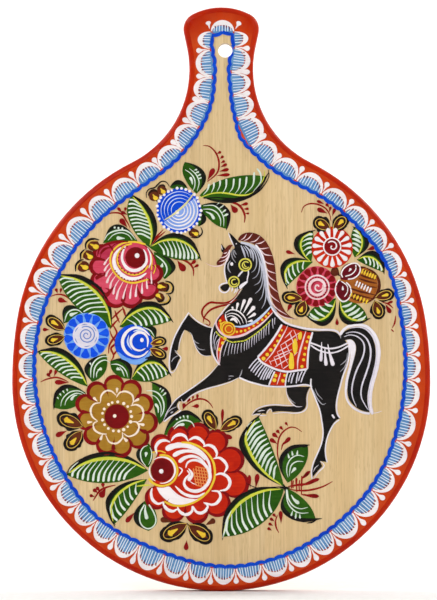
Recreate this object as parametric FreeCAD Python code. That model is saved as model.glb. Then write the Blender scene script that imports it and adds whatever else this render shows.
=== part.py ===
import FreeCAD, Part
import math
import os

# Round painted wooden wall board with a flared handle, standing upright.
# Millimetres, +Z up.  The origin is on the axis of the hanging hole, at the flat back
# face; the painted face looks towards -Y.
# Outlines are drawn as (u, v): u to the right of the board's centre line, v above the
# hole's axis.

# ---- driving dimensions ----
BOARD_THICK = 11.0
HOLE_D = 8.0
HOLE_OFFSET = 2.2            # the hole is drilled this far right of the centre line
BOTTOM_V = -297.5            # lowest point of the round body
# half outline from the bottom up: (radius, degrees turned); negative turns outward again
HALF_OUTLINE = ((115.0, 90.0), (220.0, 9.0), (117.0, 54.4), (-57.5, 75.4))
HEAD_SIDE = 8.5              # straight side of the handle's head
HEAD_CORNER = (9.0, 74.5)
FRONT_ROUND = 3.0
BACK_ROUND = 1.5
GLUE_LINES = (-86.0, -31.0, 23.8, 78.5)   # edges where the five staves are glued
COAT = 0.25                  # red ground coat over the rim
FILM = 0.2                   # brushed colour films on the face

FRONT = -BOARD_THICK
os.makedirs("parts", exist_ok=True)


def at(u, v, y=FRONT):
    return FreeCAD.Vector(u - HOLE_OFFSET, y, v)


def outline_edges(grow=0.0, y=0.0):
    """Closed outline as tangent arcs, walked up the right side and mirrored."""
    pos = FreeCAD.Vector(0, BOTTOM_V - grow, 0)
    heading = 0.0
    half = []
    moves = list(HALF_OUTLINE) + [("straight", HEAD_SIDE), HEAD_CORNER, ("crown", 0)]
    for radius, turn in moves:
        ahead = FreeCAD.Vector(math.cos(heading), math.sin(heading), 0)
        left = FreeCAD.Vector(-ahead.y, ahead.x, 0)
        if radius == "straight":
            end = pos + ahead * turn
            half.append((pos, None, end))
            pos = end
            continue
        if radius == "crown":
            radius = -pos.x / left.x
            turn = 180.0 - math.degrees(heading)
        else:
            radius += grow
        sweep = math.radians(turn) * (1 if radius > 0 else -1)
        centre = pos + left * radius

        def on_arc(angle):
            c, s = math.cos(angle), math.sin(angle)
            arm = pos - centre
            return centre + FreeCAD.Vector(arm.x * c - arm.y * s, arm.x * s + arm.y * c, 0)

        middle, end = on_arc(sweep / 2), on_arc(sweep)
        half.append((pos, middle, end))
        pos = end
        heading += sweep
    half[-1][2].x = 0.0
    edges = []
    for side in (1, -1):
        for start, middle, end in half:
            a = at(side * start.x, start.y, y)
            b = at(side * end.x, end.y, y)
            if middle is None:
                edges.append(Part.makeLine(a, b))
            else:
                edges.append(Part.Arc(a, at(side * middle.x, middle.y, y), b).toShape())
    return edges


def rounded_plate(grow):
    """The whole blank; grow swells it evenly on every side."""
    edges = outline_edges(grow, grow)
    wire = Part.Wire(Part.__sortEdges__(edges))
    depth = BOARD_THICK + 2 * grow
    plate = Part.Face(wire).extrude(FreeCAD.Vector(0, -depth, 0))
    for y, radius in ((FRONT - grow, FRONT_ROUND + grow), (grow, BACK_ROUND + grow)):
        rim = []
        for edge in plate.Edges:
            flat = all(abs(v.Point.y - y) < 1e-4 for v in edge.Vertexes)
            if flat:
                rim.append(edge)
        plate = plate.makeFillet(radius, rim)
    return plate


# ---- flat outlines on the painted face ----
def curve(points, closed=False):
    spline = Part.BSplineCurve()
    spline.interpolate([at(u, v) for u, v in points], PeriodicFlag=closed)
    return spline.toShape()


def loop(*runs):
    """Face bounded by smooth runs of points; corners are where one run meets the next."""
    if len(runs) == 1:
        return Part.Face(Part.Wire(curve(runs[0], closed=True)))
    edges = []
    for index, run in enumerate(runs):
        following = runs[(index + 1) % len(runs)]
        points = list(run) + [following[0]]
        if len(points) == 2:
            edges.append(Part.makeLine(at(*points[0]), at(*points[1])))
        else:
            edges.append(curve(points))
    return Part.Face(Part.Wire(edges))


def disc(u, v, r):
    return Part.Face(Part.Wire(Part.makeCircle(r, at(u, v), FreeCAD.Vector(0, -1, 0))))


def discs(*items):
    face = disc(*items[0])
    return face.fuse([disc(*item) for item in items[1:]]).removeSplitter()


def swell(f, peak):
    """Leaf profile: 0 at both ends, 1 at the fraction 'peak' of the length."""
    reach = (peak - f) / peak if f < peak else (f - peak) / (1.0 - peak)
    return 1.0 - reach ** 2.2


def beside(base, tip, f, side):
    """Point the fraction f of the way from base to tip, moved 'side' to the left."""
    run_u, run_v = tip[0] - base[0], tip[1] - base[1]
    length = math.hypot(run_u, run_v)
    return (base[0] + f * run_u - side * run_v / length, base[1] + f * run_v + side * run_u / length)


def side_points(base, tip, through, inset=0.0):
    """Points of one leaf edge from base to tip, passing the point 'through'."""
    run_u, run_v = tip[0] - base[0], tip[1] - base[1]
    rel_u, rel_v = through[0] - base[0], through[1] - base[1]
    square = run_u * run_u + run_v * run_v
    peak = min(0.72, max(0.28, (rel_u * run_u + rel_v * run_v) / square))
    bulge = (rel_v * run_u - rel_u * run_v) / math.sqrt(square)
    bulge -= math.copysign(inset, bulge)
    steps = (0.0, 0.1, 0.25, 0.42, 0.58, 0.75, 0.9, 1.0)
    return [beside(base, tip, f, bulge * swell(f, peak)) for f in steps]


def between(side_a, side_b):
    """Face between two edges that share both ends."""
    return loop(side_a[:-1], list(reversed(side_b))[:-1])


LEAF_SHADOW = 2.6            # width of the dark band along a leaf's outer edge


def leaf_faces(leaf):
    """Green blade and the dark crescent on its outer side."""
    base, outer, tip, inner = leaf
    far = side_points(base, tip, outer)
    near = side_points(base, tip, outer, LEAF_SHADOW)
    return between(near, side_points(base, tip, inner)), between(far, near)


def drop(base, tip, width, profile=((0.3, 0.42), (0.55, 0.86), (0.78, 1.0), (0.93, 0.66))):
    """Brush drop: pointed at the base, round at the tip."""
    left = [beside(base, tip, f, 0.5 * width * w) for f, w in profile]
    right = [beside(base, tip, f, -0.5 * width * w) for f, w in profile]
    return loop([base], left + [tip] + list(reversed(right)))


# ---- export with painting order ----
eye = disc(HOLE_OFFSET, 0, HOLE_D / 2)
painted = [eye]              # the hole, then the faces already laid on top
films = {}


def lay(name, faces):
    """Keep a colour film, trimmed where an already laid film covers it."""
    kept = []
    for face in faces:
        box = face.BoundBox
        above = [other for other in painted if other.BoundBox.intersect(box)]
        left = face.cut(above) if above else face
        kept += [piece for piece in left.Faces if piece.Area > 0.4]
    films[name] = kept
    painted.extend(faces)


def export(name, shape):
    shape.exportStep("parts/%s.step" % name)


def film_solid(faces, thick, lift):
    solids = []
    for face in faces:
        body = face.extrude(FreeCAD.Vector(0, -thick, 0))
        body.translate(FreeCAD.Vector(0, -lift, 0))
        solids.append(body)
    return Part.makeCompound(solids)


# ---- the lace border: one closed path, hand painted round the board ----
PATH = [(-4.4, 7.8), (-1.4, 9.1), (2.2, 9.6), (5.6, 8.6), (6.5, 4.5), (5.6, -2), (4.4, -9),
        (5.1, -21), (6.2, -30.5), (8.3, -40), (10.4, -47.3), (15.5, -53.8), (24.5, -62.4),
        (42.9, -74), (58.9, -82.9), (74.9, -96.5), (89.4, -114.9), (98.2, -142), (101.4, -172),
        (97.7, -205), (85.2, -236.3), (63.6, -260.5), (36.7, -277), (0, -284), (-39.2, -273.3),
        (-68.8, -256.4), (-80.3, -242.8), (-90.4, -226.2), (-101.5, -192), (-102.5, -165), (-97.7, -142.3),
        (-87.7, -120), (-66.2, -92.3), (-44.6, -75.4), (-25.4, -60.8), (-14.2, -47.3),
        (-8.7, -37.5), (-5.3, -27.7), (-3.8, -15), (-3.7, -7), (-4.9, 0), (-5.3, 4.6)]
# centres of the white drops between scallops, clockwise from the upper left of the head
DROPS = [(-7, 14.5), (9.5, 14.5), (14.3, 1), (14.3, -12), (14.5, -23.7), (17.8, -35.6),
         (23.5, -47), (31.9, -58), (44.5, -65.2), (58.1, -74), (71.7, -83.3), (83, -94.5),
         (93.4, -107.5), (100.6, -123.3), (104.6, -137.7), (107, -151.8), (108, -167.2),
         (108, -181.5), (106.7, -198.2), (103.1, -216.6), (97.3, -232.3), (88.7, -246.2),
         (78.4, -260.1), (65, -271.3), (52.4, -279.4), (38.7, -285.2), (23.9, -290.2),
         (8.2, -292), (-6, -292.4), (-19.6, -290.3), (-34.3, -287), (-48.9, -281.2),
         (-61.2, -273.3), (-72.9, -264.1), (-83, -253.4), (-92.8, -240.8), (-98.9, -226.9),
         (-104.9, -211.9), (-108.3, -196.1), (-109.7, -181.5), (-109.7, -165.8),
         (-107.8, -148.4), (-104.5, -131.5), (-97.7, -116), (-88.1, -102.3), (-76.3, -88.1),
         (-63.2, -77.7), (-49.6, -68.1), (-36.8, -60.4), (-26.5, -50.5), (-20, -38.3),
         (-14.5, -26.8), (-12.3, -14.3), (-12.3, -0.2)]
LINE_HALF = 1.0              # half width of the blue line
WAVES = 144                  # little arches of the blue line round the whole path
WAVE_HEIGHT = 0.8
ROOT_LINE = 1.4              # scallop ends sit this far outside the path
SCALLOP_OVER = 1.7           # scallop crowns stand this far past the drops' centres
SCALLOP_BAND = 2.7           # white band at a scallop's crown
HEAD_ROOTS = {0: ((-5.9, 10.4), (-0.35, 0.94)),     # scallop ends beside the head's two corners,
              1: ((7.3, 10.4), (0.35, 0.94))}       # each with its outward direction
DROP_D = 2.9
DROP_PROFILE = ((0.3, 0.26), (0.55, 0.52), (0.8, 1.0), (0.94, 0.66))   # thin tail, round head

path_edge = curve(PATH, closed=True)
path_curve = path_edge.Curve


def path_frame(point):
    """Nearest path point, its direction and outward normal, in (u, v)."""
    parameter = path_curve.parameter(at(*point))
    near = path_curve.value(parameter)
    along = path_curve.tangent(parameter)[0]
    return (near.x + HOLE_OFFSET, near.z), (along.x, along.z), (-along.z, along.x)


def arched_ring(offset, height):
    """Face inside a ring of little arches that end 'offset' outside the path."""
    samples = path_edge.discretize(Number=WAVES * 2 + 1)
    points = []
    for index, near in enumerate(samples):
        along = path_curve.tangent(path_curve.parameter(near))[0]
        reach = offset - height * (index % 2)
        points.append(at(near.x + HOLE_OFFSET - along.z * reach, near.z + along.x * reach))
    points[-1] = points[0]
    arches = [Part.Arc(*points[i:i + 3]).toShape() for i in range(0, WAVES * 2, 2)]
    return Part.Face(Part.Wire(arches))


def scallop_points(left, right, depth, spread):
    """Half ellipse standing on the chord between two roots."""
    mid = ((left[0] + right[0]) / 2, (left[1] + right[1]) / 2)
    half = ((right[0] - left[0]) / 2, (right[1] - left[1]) / 2)
    length = math.hypot(*half)
    out = (-half[1] / length, half[0] / length)
    points = []
    for step in range(9):
        angle = math.pi * step / 8
        c = -math.cos(angle) * spread
        s = math.sin(angle) * depth
        points.append((mid[0] + half[0] * c + out[0] * s, mid[1] + half[1] * c + out[1] * s))
    return points


roots = []
for index, tip in enumerate(DROPS):
    near, along, out = path_frame(tip)
    root = (near[0] + out[0] * ROOT_LINE, near[1] + out[1] * ROOT_LINE)
    if index in HEAD_ROOTS:
        root, out = HEAD_ROOTS[index]
    reach = math.hypot(tip[0] - root[0], tip[1] - root[1]) + ROOT_LINE
    roots.append((root, out, reach))

line_outer = arched_ring(LINE_HALF + 0.4, WAVE_HEIGHT)
line_inner = arched_ring(0.4 - LINE_HALF, WAVE_HEIGHT)
core = arched_ring(-0.3, 0.0)
crescents, washes, lace_drops = [], [], []
for index, tip in enumerate(DROPS):
    left, out, reach = roots[index]
    right, _, next_reach = roots[(index + 1) % len(DROPS)]
    depth = (reach + next_reach) / 2 - ROOT_LINE + SCALLOP_OVER
    outer = scallop_points(left, right, depth, 0.97)
    inner = scallop_points(left, right, depth - SCALLOP_BAND, 0.86)
    crescents.append(loop(outer[:-1], [outer[-1]], list(reversed(inner))[:-1], [inner[0]]))
    wash = scallop_points(left, right, 0.9 * (depth - SCALLOP_BAND), 0.84)
    sunk = [(p[0] - 1.2 * out[0], p[1] - 1.2 * out[1]) for p in (wash[-1], wash[0])]
    washes.append(loop(wash[:-1], [wash[-1]], [sunk[0]], [sunk[1]]))
    tail = (left[0] + 1.2 * out[0], left[1] + 1.2 * out[1])
    run = (tip[0] - tail[0], tip[1] - tail[1])
    stretch = 1.0 + 0.5 * DROP_D / math.hypot(*run)
    end = (tail[0] + run[0] * stretch, tail[1] + run[1] * stretch)
    lace_drops.append(drop(tail, end, DROP_D, DROP_PROFILE))

# ---- the board: five glued staves and the red ground coat round the rim ----
blank = rounded_plate(0.0)
bore = Part.makeCylinder(HOLE_D / 2, BOARD_THICK + 4, FreeCAD.Vector(0, 2, 0), FreeCAD.Vector(0, -1, 0))
drilled = blank.cut(bore)
bounds = (-200.0,) + GLUE_LINES + (200.0,)
STAVES = ("stave_far_left", "stave_left", "stave_centre", "stave_right", "stave_far_right")
for name, low, high in zip(STAVES, bounds, bounds[1:]):
    cell = Part.makeBox(high - low, BOARD_THICK + 10, 400, at(low, -350, -BOARD_THICK - 5))
    export(name, drilled.common(cell))
ground = rounded_plate(COAT).cut(blank)
ground = ground.cut(core.extrude(FreeCAD.Vector(0, -5, 0)))
rim_band = Part.makeBox(400, BOARD_THICK + 5 - BACK_ROUND, 400, FreeCAD.Vector(-200, FRONT - 5, -350))
ground = ground.common(rim_band)
ground = ground.cut(bore)
export("red_rim_coat", ground)
border = {
    "blue_line": [line_outer.cut(line_inner)],
    "lace_scallops": crescents,
    "lace_drops": lace_drops,
    "lace_wash": washes,
}

# ---- the horse and its harness ----
horse_harness = {
    "bridle_rings": [disc(13.2, -118, 3.7), disc(7, -127.4, 3.2)],
    "breast_roundel": [disc(4, -153.4, 3.9)],
    "breast_collar": [
        loop([(1.2, -145.2), (-0.7, -147.5), (-2, -150.5), (-1.2, -153.8), (1.2, -156.2),
              (4.5, -157.1), (8.5, -156.9), (13, -155.8), (18, -153), (23, -148.9),
              (28.2, -143.8)],
             [(27.8, -142.2), (24, -145.8), (20, -149.2), (15.5, -151.8), (11, -152.9),
              (6.5, -152.4), (3.4, -150), (1.9, -147.5)]),
        loop([(-0.3, -157), (-1.4, -161.5), (-2.1, -167)], [(-2.2, -171.2)],
             [(-1.3, -171.2), (-0.7, -166), (0.7, -161.5)], [(2.8, -158.6)])],
    "girth_strap": [loop([(29.2, -176.6), (27.8, -180.3)], [(27, -184.2)],
                         [(35.2, -184.6), (35.4, -181)], [(36.3, -177.8)])],
    "saddle_cloth": [loop([(33.4, -151), (30.8, -155.5), (27.5, -160.5), (24, -164.8)],
                          [(20.4, -169), (25, -172.6), (31, -175.2), (38, -176.3), (43, -175.9)],
                          [(47.2, -175), (47.2, -170), (47.8, -165), (48.8, -160)],
                          [(50.2, -155.4), (44, -154.3), (38, -152.6)])],
}
horse = {
    "horse_muzzle": [loop([(-0.3, -130), (0.8, -129.2), (2.5, -128.6), (4.2, -128.9),
                           (4.4, -130.4), (3.4, -132.1), (1.8, -132.6), (0.3, -131.8)])],
    "horse_forelock": [loop([(6.4, -107.2), (3.8, -107.4), (2.2, -109.2), (1, -111.3),
                             (-0.4, -114.4), (-2.4, -116.4)],
                            [(-2.4, -118.2), (0.6, -117.5), (2.6, -115.4), (4, -112)])],
    "horse_far_ear": [drop((0, -106.2), (1.6, -111.4), 2.3)],
    "horse_mane": [loop([(9.2, -104.6), (10.4, -102.1), (13, -100.6), (16.5, -100.3),
                         (20.5, -101.5), (24, -104.4), (26.7, -108.8), (28.6, -114),
                         (29.8, -120.5), (30.4, -127), (31.4, -133.5), (33.4, -140.2),
                         (36.6, -145.2)],
                        [(42, -147.9), (36.8, -147.4), (32, -145), (29.3, -141), (27.4, -135),
                         (26.2, -128), (25.4, -121), (23.6, -114.5), (20.6, -109),
                         (17, -106.3), (13, -105.2)])],
    "horse_raised_foreleg": [loop(
        [(-17.8, -145.5), (-14.5, -148.7), (-11, -151), (-7.5, -152.4)],
        [(-4.9, -152.9), (-5.8, -157.5), (-6, -162.5)],
        [(-5.4, -167.9), (-8.8, -168.2), (-11.8, -166.8), (-14, -163.6), (-15.4, -159.8),
         (-16.4, -156.6), (-18, -154.9)],
        [(-20.2, -153.8), (-21.9, -156.6), (-23.2, -160.6)],
        [(-23.8, -164.8)], [(-25.4, -166)], [(-22.4, -169.3), (-24.2, -172.6), (-26, -175.8)],
        [(-27.4, -176.3), (-28.1, -172), (-27.8, -167), (-26.6, -161), (-24.5, -155.3),
         (-21.5, -150)])],
    "horse_far_hindleg": [loop(
        [(36, -185.2), (36.3, -188.5), (38.2, -192.5)],
        [(41, -195.6), (35, -195.9), (29, -195.6), (23.5, -196.4), (19.8, -197.9)],
        [(17.3, -200.5), (20.5, -199.7)], [(24.6, -200.1), (25.3, -198.2)],
        [(27, -197)], [(28.2, -199.2), (34, -198.6), (40, -199), (44.4, -198.4),
                       (46.4, -196.2), (46.7, -191.5), (47.5, -187.8)],
        [(49, -185.1)])],
    "horse_tail": [loop(
        [(65.4, -157.4), (68, -154.6), (71.5, -153), (75.2, -152.6), (79.2, -153.8),
         (82.3, -156.9), (84.3, -161.5), (84.9, -166.5), (84.3, -173), (82.7, -180),
         (81, -186), (80.3, -191), (80.7, -195.5)],
        [(81.9, -199), (78.2, -198.5), (73.6, -196), (70.5, -192.4), (69.4, -187.5),
         (69.8, -181), (71.4, -175), (73.3, -168.8), (74.2, -164), (73.4, -160.8),
         (71.2, -159), (68.4, -159.4)])],
    "horse_body": [loop(
        [(4.4, -100.5), (7.1, -102.8), (9.2, -105)],
        [(10.4, -106), (13.4, -105.9), (17, -107), (20, -109.4), (22.4, -113.2), (24.2, -118.5),
         (25, -124.5), (25.6, -131), (26.7, -136.6), (28.3, -141.2), (31, -145.9),
         (35.2, -149.6), (41, -152.4), (47.5, -154.2), (54, -154.6), (60, -154.6),
         (63.5, -155.6)],
        [(65.2, -157.5), (67.6, -159), (69.4, -162), (70, -166.5), (68.9, -172.5),
         (66.6, -179), (65, -185), (63.5, -190.5), (62.8, -195.5), (63.3, -199.8)],
        [(65.3, -202.5), (62.2, -204.6), (60, -208.2), (58.3, -212.8), (57.1, -218),
         (57, -222.4)],
        [(57.9, -226.5)], [(54.3, -226)], [(55.6, -228.8), (53, -231.6)],
        [(50.1, -235.1), (50.1, -231.2), (51.4, -226.5), (53.6, -221.2), (55.5, -216),
         (56.3, -210.5), (55.6, -204.5), (54.5, -199), (52.9, -194.2), (51.1, -189.6)],
        [(49.6, -184.4), (45.5, -183.7), (39.5, -184.3), (32.5, -184.7), (25.5, -184.3),
         (19.5, -183.3), (14.5, -181.8)],
        [(9.6, -180), (4.5, -182.2), (-1, -183.9), (-7, -185.5), (-12.5, -187.4),
         (-17, -190)],
        [(-20.3, -193.2)], [(-23.2, -193.1), (-24.4, -195.2)],
        [(-23.4, -197.6), (-27, -200.6)],
        [(-31.7, -204), (-29.9, -199.4), (-27, -195.2), (-23.9, -191.6), (-19.5, -188.5),
         (-13.5, -184.5), (-8, -180.3), (-4.2, -176.4)],
        [(-1.4, -172.8), (-3.4, -169.4), (-4.9, -164.5), (-5.2, -158.5)],
        [(-4.2, -152.6), (-2.6, -149), (0.4, -145), (4, -140.9), (8, -136.4)],
        [(11.8, -131), (8, -131.2), (4.6, -129.4)],
        [(3.6, -127.4), (2.3, -122.8), (2.4, -118), (3.9, -114), (5.6, -110.6)],
        [(7.4, -108.8), (6, -105.2)])],
}

# ---- flowers: hearts and petals first, then the darker shapes they lie on ----
PINK_PETALS = ((-57.6, -134.6, 5.2), (-49.6, -134.6, 5.3), (-41, -130.4, 5), (-66.3, -126.4, 3.7),
               (-66.6, -119, 4), (-65, -112, 3.7), (-62.5, -130.4, 3.2), (-38, -122.5, 4))
OCHRE_PETALS = ((-58.9, -185.4, 4.6), (-50, -188, 4.7), (-44, -195, 4.6), (-42, -204.6, 5),
                (-46.4, -212.3, 5.1), (-55, -217.2, 4.6), (-63, -216, 4.5), (-69.5, -211, 4.4),
                (-73.2, -203.6, 4.3), (-73.7, -195, 4.4), (-67.8, -188.6, 4.5))
RED_PETALS = ((-13, -212.4, 5.6), (-3.2, -215.6, 5.4), (4.6, -225.6, 6.2), (6.8, -238.4, 6.6),
              (-2.6, -248.8, 6.2), (-13.6, -253.2, 5.4), (-25.8, -252.4, 5.4), (-34.8, -245.6, 5.4),
              (-32.5, -217.5, 4.6), (-23.4, -213, 4.9))


def behind(petals, centre, shift, swelled):
    """The shadow scallops: each petal pushed outward and enlarged."""
    items = []
    for u, v, r in petals:
        reach = math.hypot(u - centre[0], v - centre[1])
        items.append((u + (u - centre[0]) / reach * shift, v + (v - centre[1]) / reach * shift,
                      r + swelled))
    return items


flower_hearts = {
    "pink_flower_heart": [disc(-47.1, -114, 5.7)],
    "blue_flower_heart": [disc(-44.5, -160, 3.7)],
    "ochre_flower_heart": [disc(-57.4, -201.5, 6.8)],
    "red_rose_heart": [disc(-32.5, -231, 6.3)],
}
flowers = {
    "blue_rose": [disc(-23.3, -88.2, 12.2)],
    "pink_flower_petals": [discs((-50, -119.4, 14), *PINK_PETALS)],
    "blue_flower": [disc(-48.2, -161.3, 10.4)],
    "blue_daisy": [disc(-74, -157.1, 12.6)],
    "ochre_flower_petals": [discs((-58, -201.4, 15.5), *OCHRE_PETALS)],
    "red_rose_petals": [discs((-17.5, -232.8, 20), *RED_PETALS)],
    "red_daisy": [disc(61, -108.4, 11.4)],
    "crimson_rosette": [disc(52.5, -130, 11.2)],
    "striped_bud_petals": [between(side_points((65.6, -126), (75.6, -117.4), (67.6, -118.6)),
                                   side_points((65.6, -126), (75.6, -117.4), (75.2, -124.6))),
                           between(side_points((64.6, -126.6), (69.6, -138), (63.6, -134.4)),
                                   side_points((64.6, -126.6), (69.6, -138), (71, -131.2)))],
    "striped_bud": [disc(75.8, -129, 10.3)],
}
flower_shadows = {
    "pink_flower_shadow": [discs((-50, -119.4, 14.6),
                                 *behind(PINK_PETALS, (-50, -119.4), 0.9, 1.3))],
    "ochre_flower_shadow": [discs((-58, -201.4, 16), *behind(OCHRE_PETALS, (-58, -201.4), 1.3, 1))],
    "red_rose_shadow": [discs((-17.5, -232.8, 20.5), *behind(RED_PETALS, (-17.5, -232.8), 1, 1.1))],
}

# ---- buds: (base, tip, width) ----
BUDS = {
    "buds_upper_left": [((-65.8, -109), (-73, -106.2), 5.6), ((-69.3, -115.4), (-75.8, -111.2), 5),
                        ((-71, -120.6), (-79, -118.4), 5.4), ((-35, -83.6), (-38.6, -76.8), 5.6),
                        ((-30.4, -79.6), (-34, -74.2), 4.8), ((-11.4, -102), (-17.8, -99.3), 4.6),
                        ((-35.8, -130), (-28.6, -130.6), 5.4), ((-36.2, -133.4), (-32, -138.2), 4.6)],
    "buds_left": [((-86, -153.8), (-96, -147.2), 6.8), ((-86, -157.6), (-96.4, -160.4), 6.4),
                  ((-39, -161.6), (-30.6, -159.6), 5), ((-39.4, -164), (-30.6, -168.8), 5.4),
                  ((-76, -207), (-90, -201.4), 8.6), ((-76.5, -209.4), (-85, -219.4), 8.4)],
    "buds_lower": [((-3, -209), (-8.8, -198.4), 7.2), ((-0.6, -209.2), (10.8, -202.6), 7),
                   ((-18.6, -260.4), (-33, -268.4), 9), ((-18.2, -261), (-5.4, -269.8), 9)],
    "buds_right": [((60, -98.4), (51.2, -93.4), 7.4), ((61.6, -98.8), (68.8, -91.4), 7.4),
                   ((44.6, -136.6), (33.6, -135.8), 6.8), ((46, -137.8), (42.6, -146.2), 7.4),
                   ((84.6, -136.2), (94.6, -133.6), 6.6), ((84.4, -137.8), (87.6, -147.4), 7.2),
                   ((65.6, -124.4), (61, -120), 4.4)],
}

# ---- leaves: (base, widest point of the shadow side, tip, widest point of the open side) ----
LEAVES = {
    "upper_left": [
        ((-12, -80), (11, -83), (24.8, -69.5), (2, -70.8)),
        ((-13.5, -79), (-8.6, -68.5), (-20, -61.5), (-20.9, -68.5)),
        ((-12, -85.5), (2.6, -86), (3, -98.2), (-5, -94.5)),
        ((-12, -87.5), (-8.2, -93), (-12.5, -97), (-13.4, -92.5)),
        ((-28.4, -75.4), (-23.5, -71.4), (-18.4, -76), (-23.5, -76.6)),
        ((-39.5, -108.5), (-35.8, -93.5), (-49.5, -79.8), (-51, -93)),
        ((-39.5, -108.5), (-23, -100.8), (-11.5, -114.6), (-26, -114.8)),
        ((-37, -111), (-25.2, -118.5), (-31, -126), (-35.5, -119)),
        ((-46, -105), (-58, -95.8), (-65, -106), (-55, -105.6)),
        ((-60.5, -153), (-66.3, -130.5), (-90, -123.8), (-80.2, -140.8)),
        ((-75, -144), (-85.6, -140.8), (-86.8, -150.2), (-80, -147.8)),
        ((-56, -152.3), (-41, -138.1), (-27.2, -148.6), (-40, -152)),
        ((-46, -151.5), (-36.4, -152.6), (-36.2, -158.6), (-41.5, -154.8))],
    "left": [
        ((-73.5, -185), (-84, -166.2), (-101, -166), (-89, -177.4)),
        ((-71, -182.4), (-75, -174), (-63.4, -167.2), (-63.8, -176.8)),
        ((-61, -171), (-51.8, -170.6), (-50, -180.8), (-58.6, -177.8)),
        ((-49.3, -180.8), (-39.5, -168.1), (-28.4, -177.8), (-39, -182.2)),
        ((-74.5, -188.5), (-87.6, -184.5), (-92, -196.6), (-81, -196.3)),
        ((-34, -206), (-27.6, -191.5), (-38, -182.8), (-37, -196))],
    "lower_left": [
        ((-31.6, -211.8), (-22, -198.6), (-11, -204), (-20, -209)),
        ((-40.3, -231.2), (-64, -220.8), (-85, -233.6), (-62, -238)),
        ((-40.8, -236), (-61.8, -244.5), (-59, -260.8), (-51, -252.2)),
        ((-40, -229.6), (-46.8, -222), (-40, -216.2), (-37.6, -222)),
        ((-41, -247.2), (-48.2, -257.4), (-40, -264.4), (-35.2, -258.4))],
    "bottom": [
        ((34.5, -240), (10.4, -218), (20.5, -201.4), (29.2, -222)),
        ((36.5, -238), (32.6, -223), (47.5, -217.2), (45.8, -228.6)),
        ((34.5, -241.4), (9, -245.3), (0.8, -267.6), (23, -259.8)),
        ((36, -241), (34, -254.5), (52, -258), (46.8, -248.4))],
    "right": [
        ((49.5, -116.6), (39.9, -106), (50.5, -99.4), (50.6, -108)),
        ((50.5, -116.4), (34.3, -116.3), (36, -130), (43.8, -122.7)),
        ((73.5, -114), (81.4, -105.5), (73, -97.4), (71.2, -106)),
        ((74.5, -115.3), (84.6, -110.6), (89.5, -122.2), (81, -118.8)),
        ((63, -136.4), (58.6, -150.8), (47.4, -146.5), (52, -140.8)),
        ((65.3, -136.8), (67.3, -149.8), (80.6, -148), (75.6, -140.2))],
}

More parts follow.
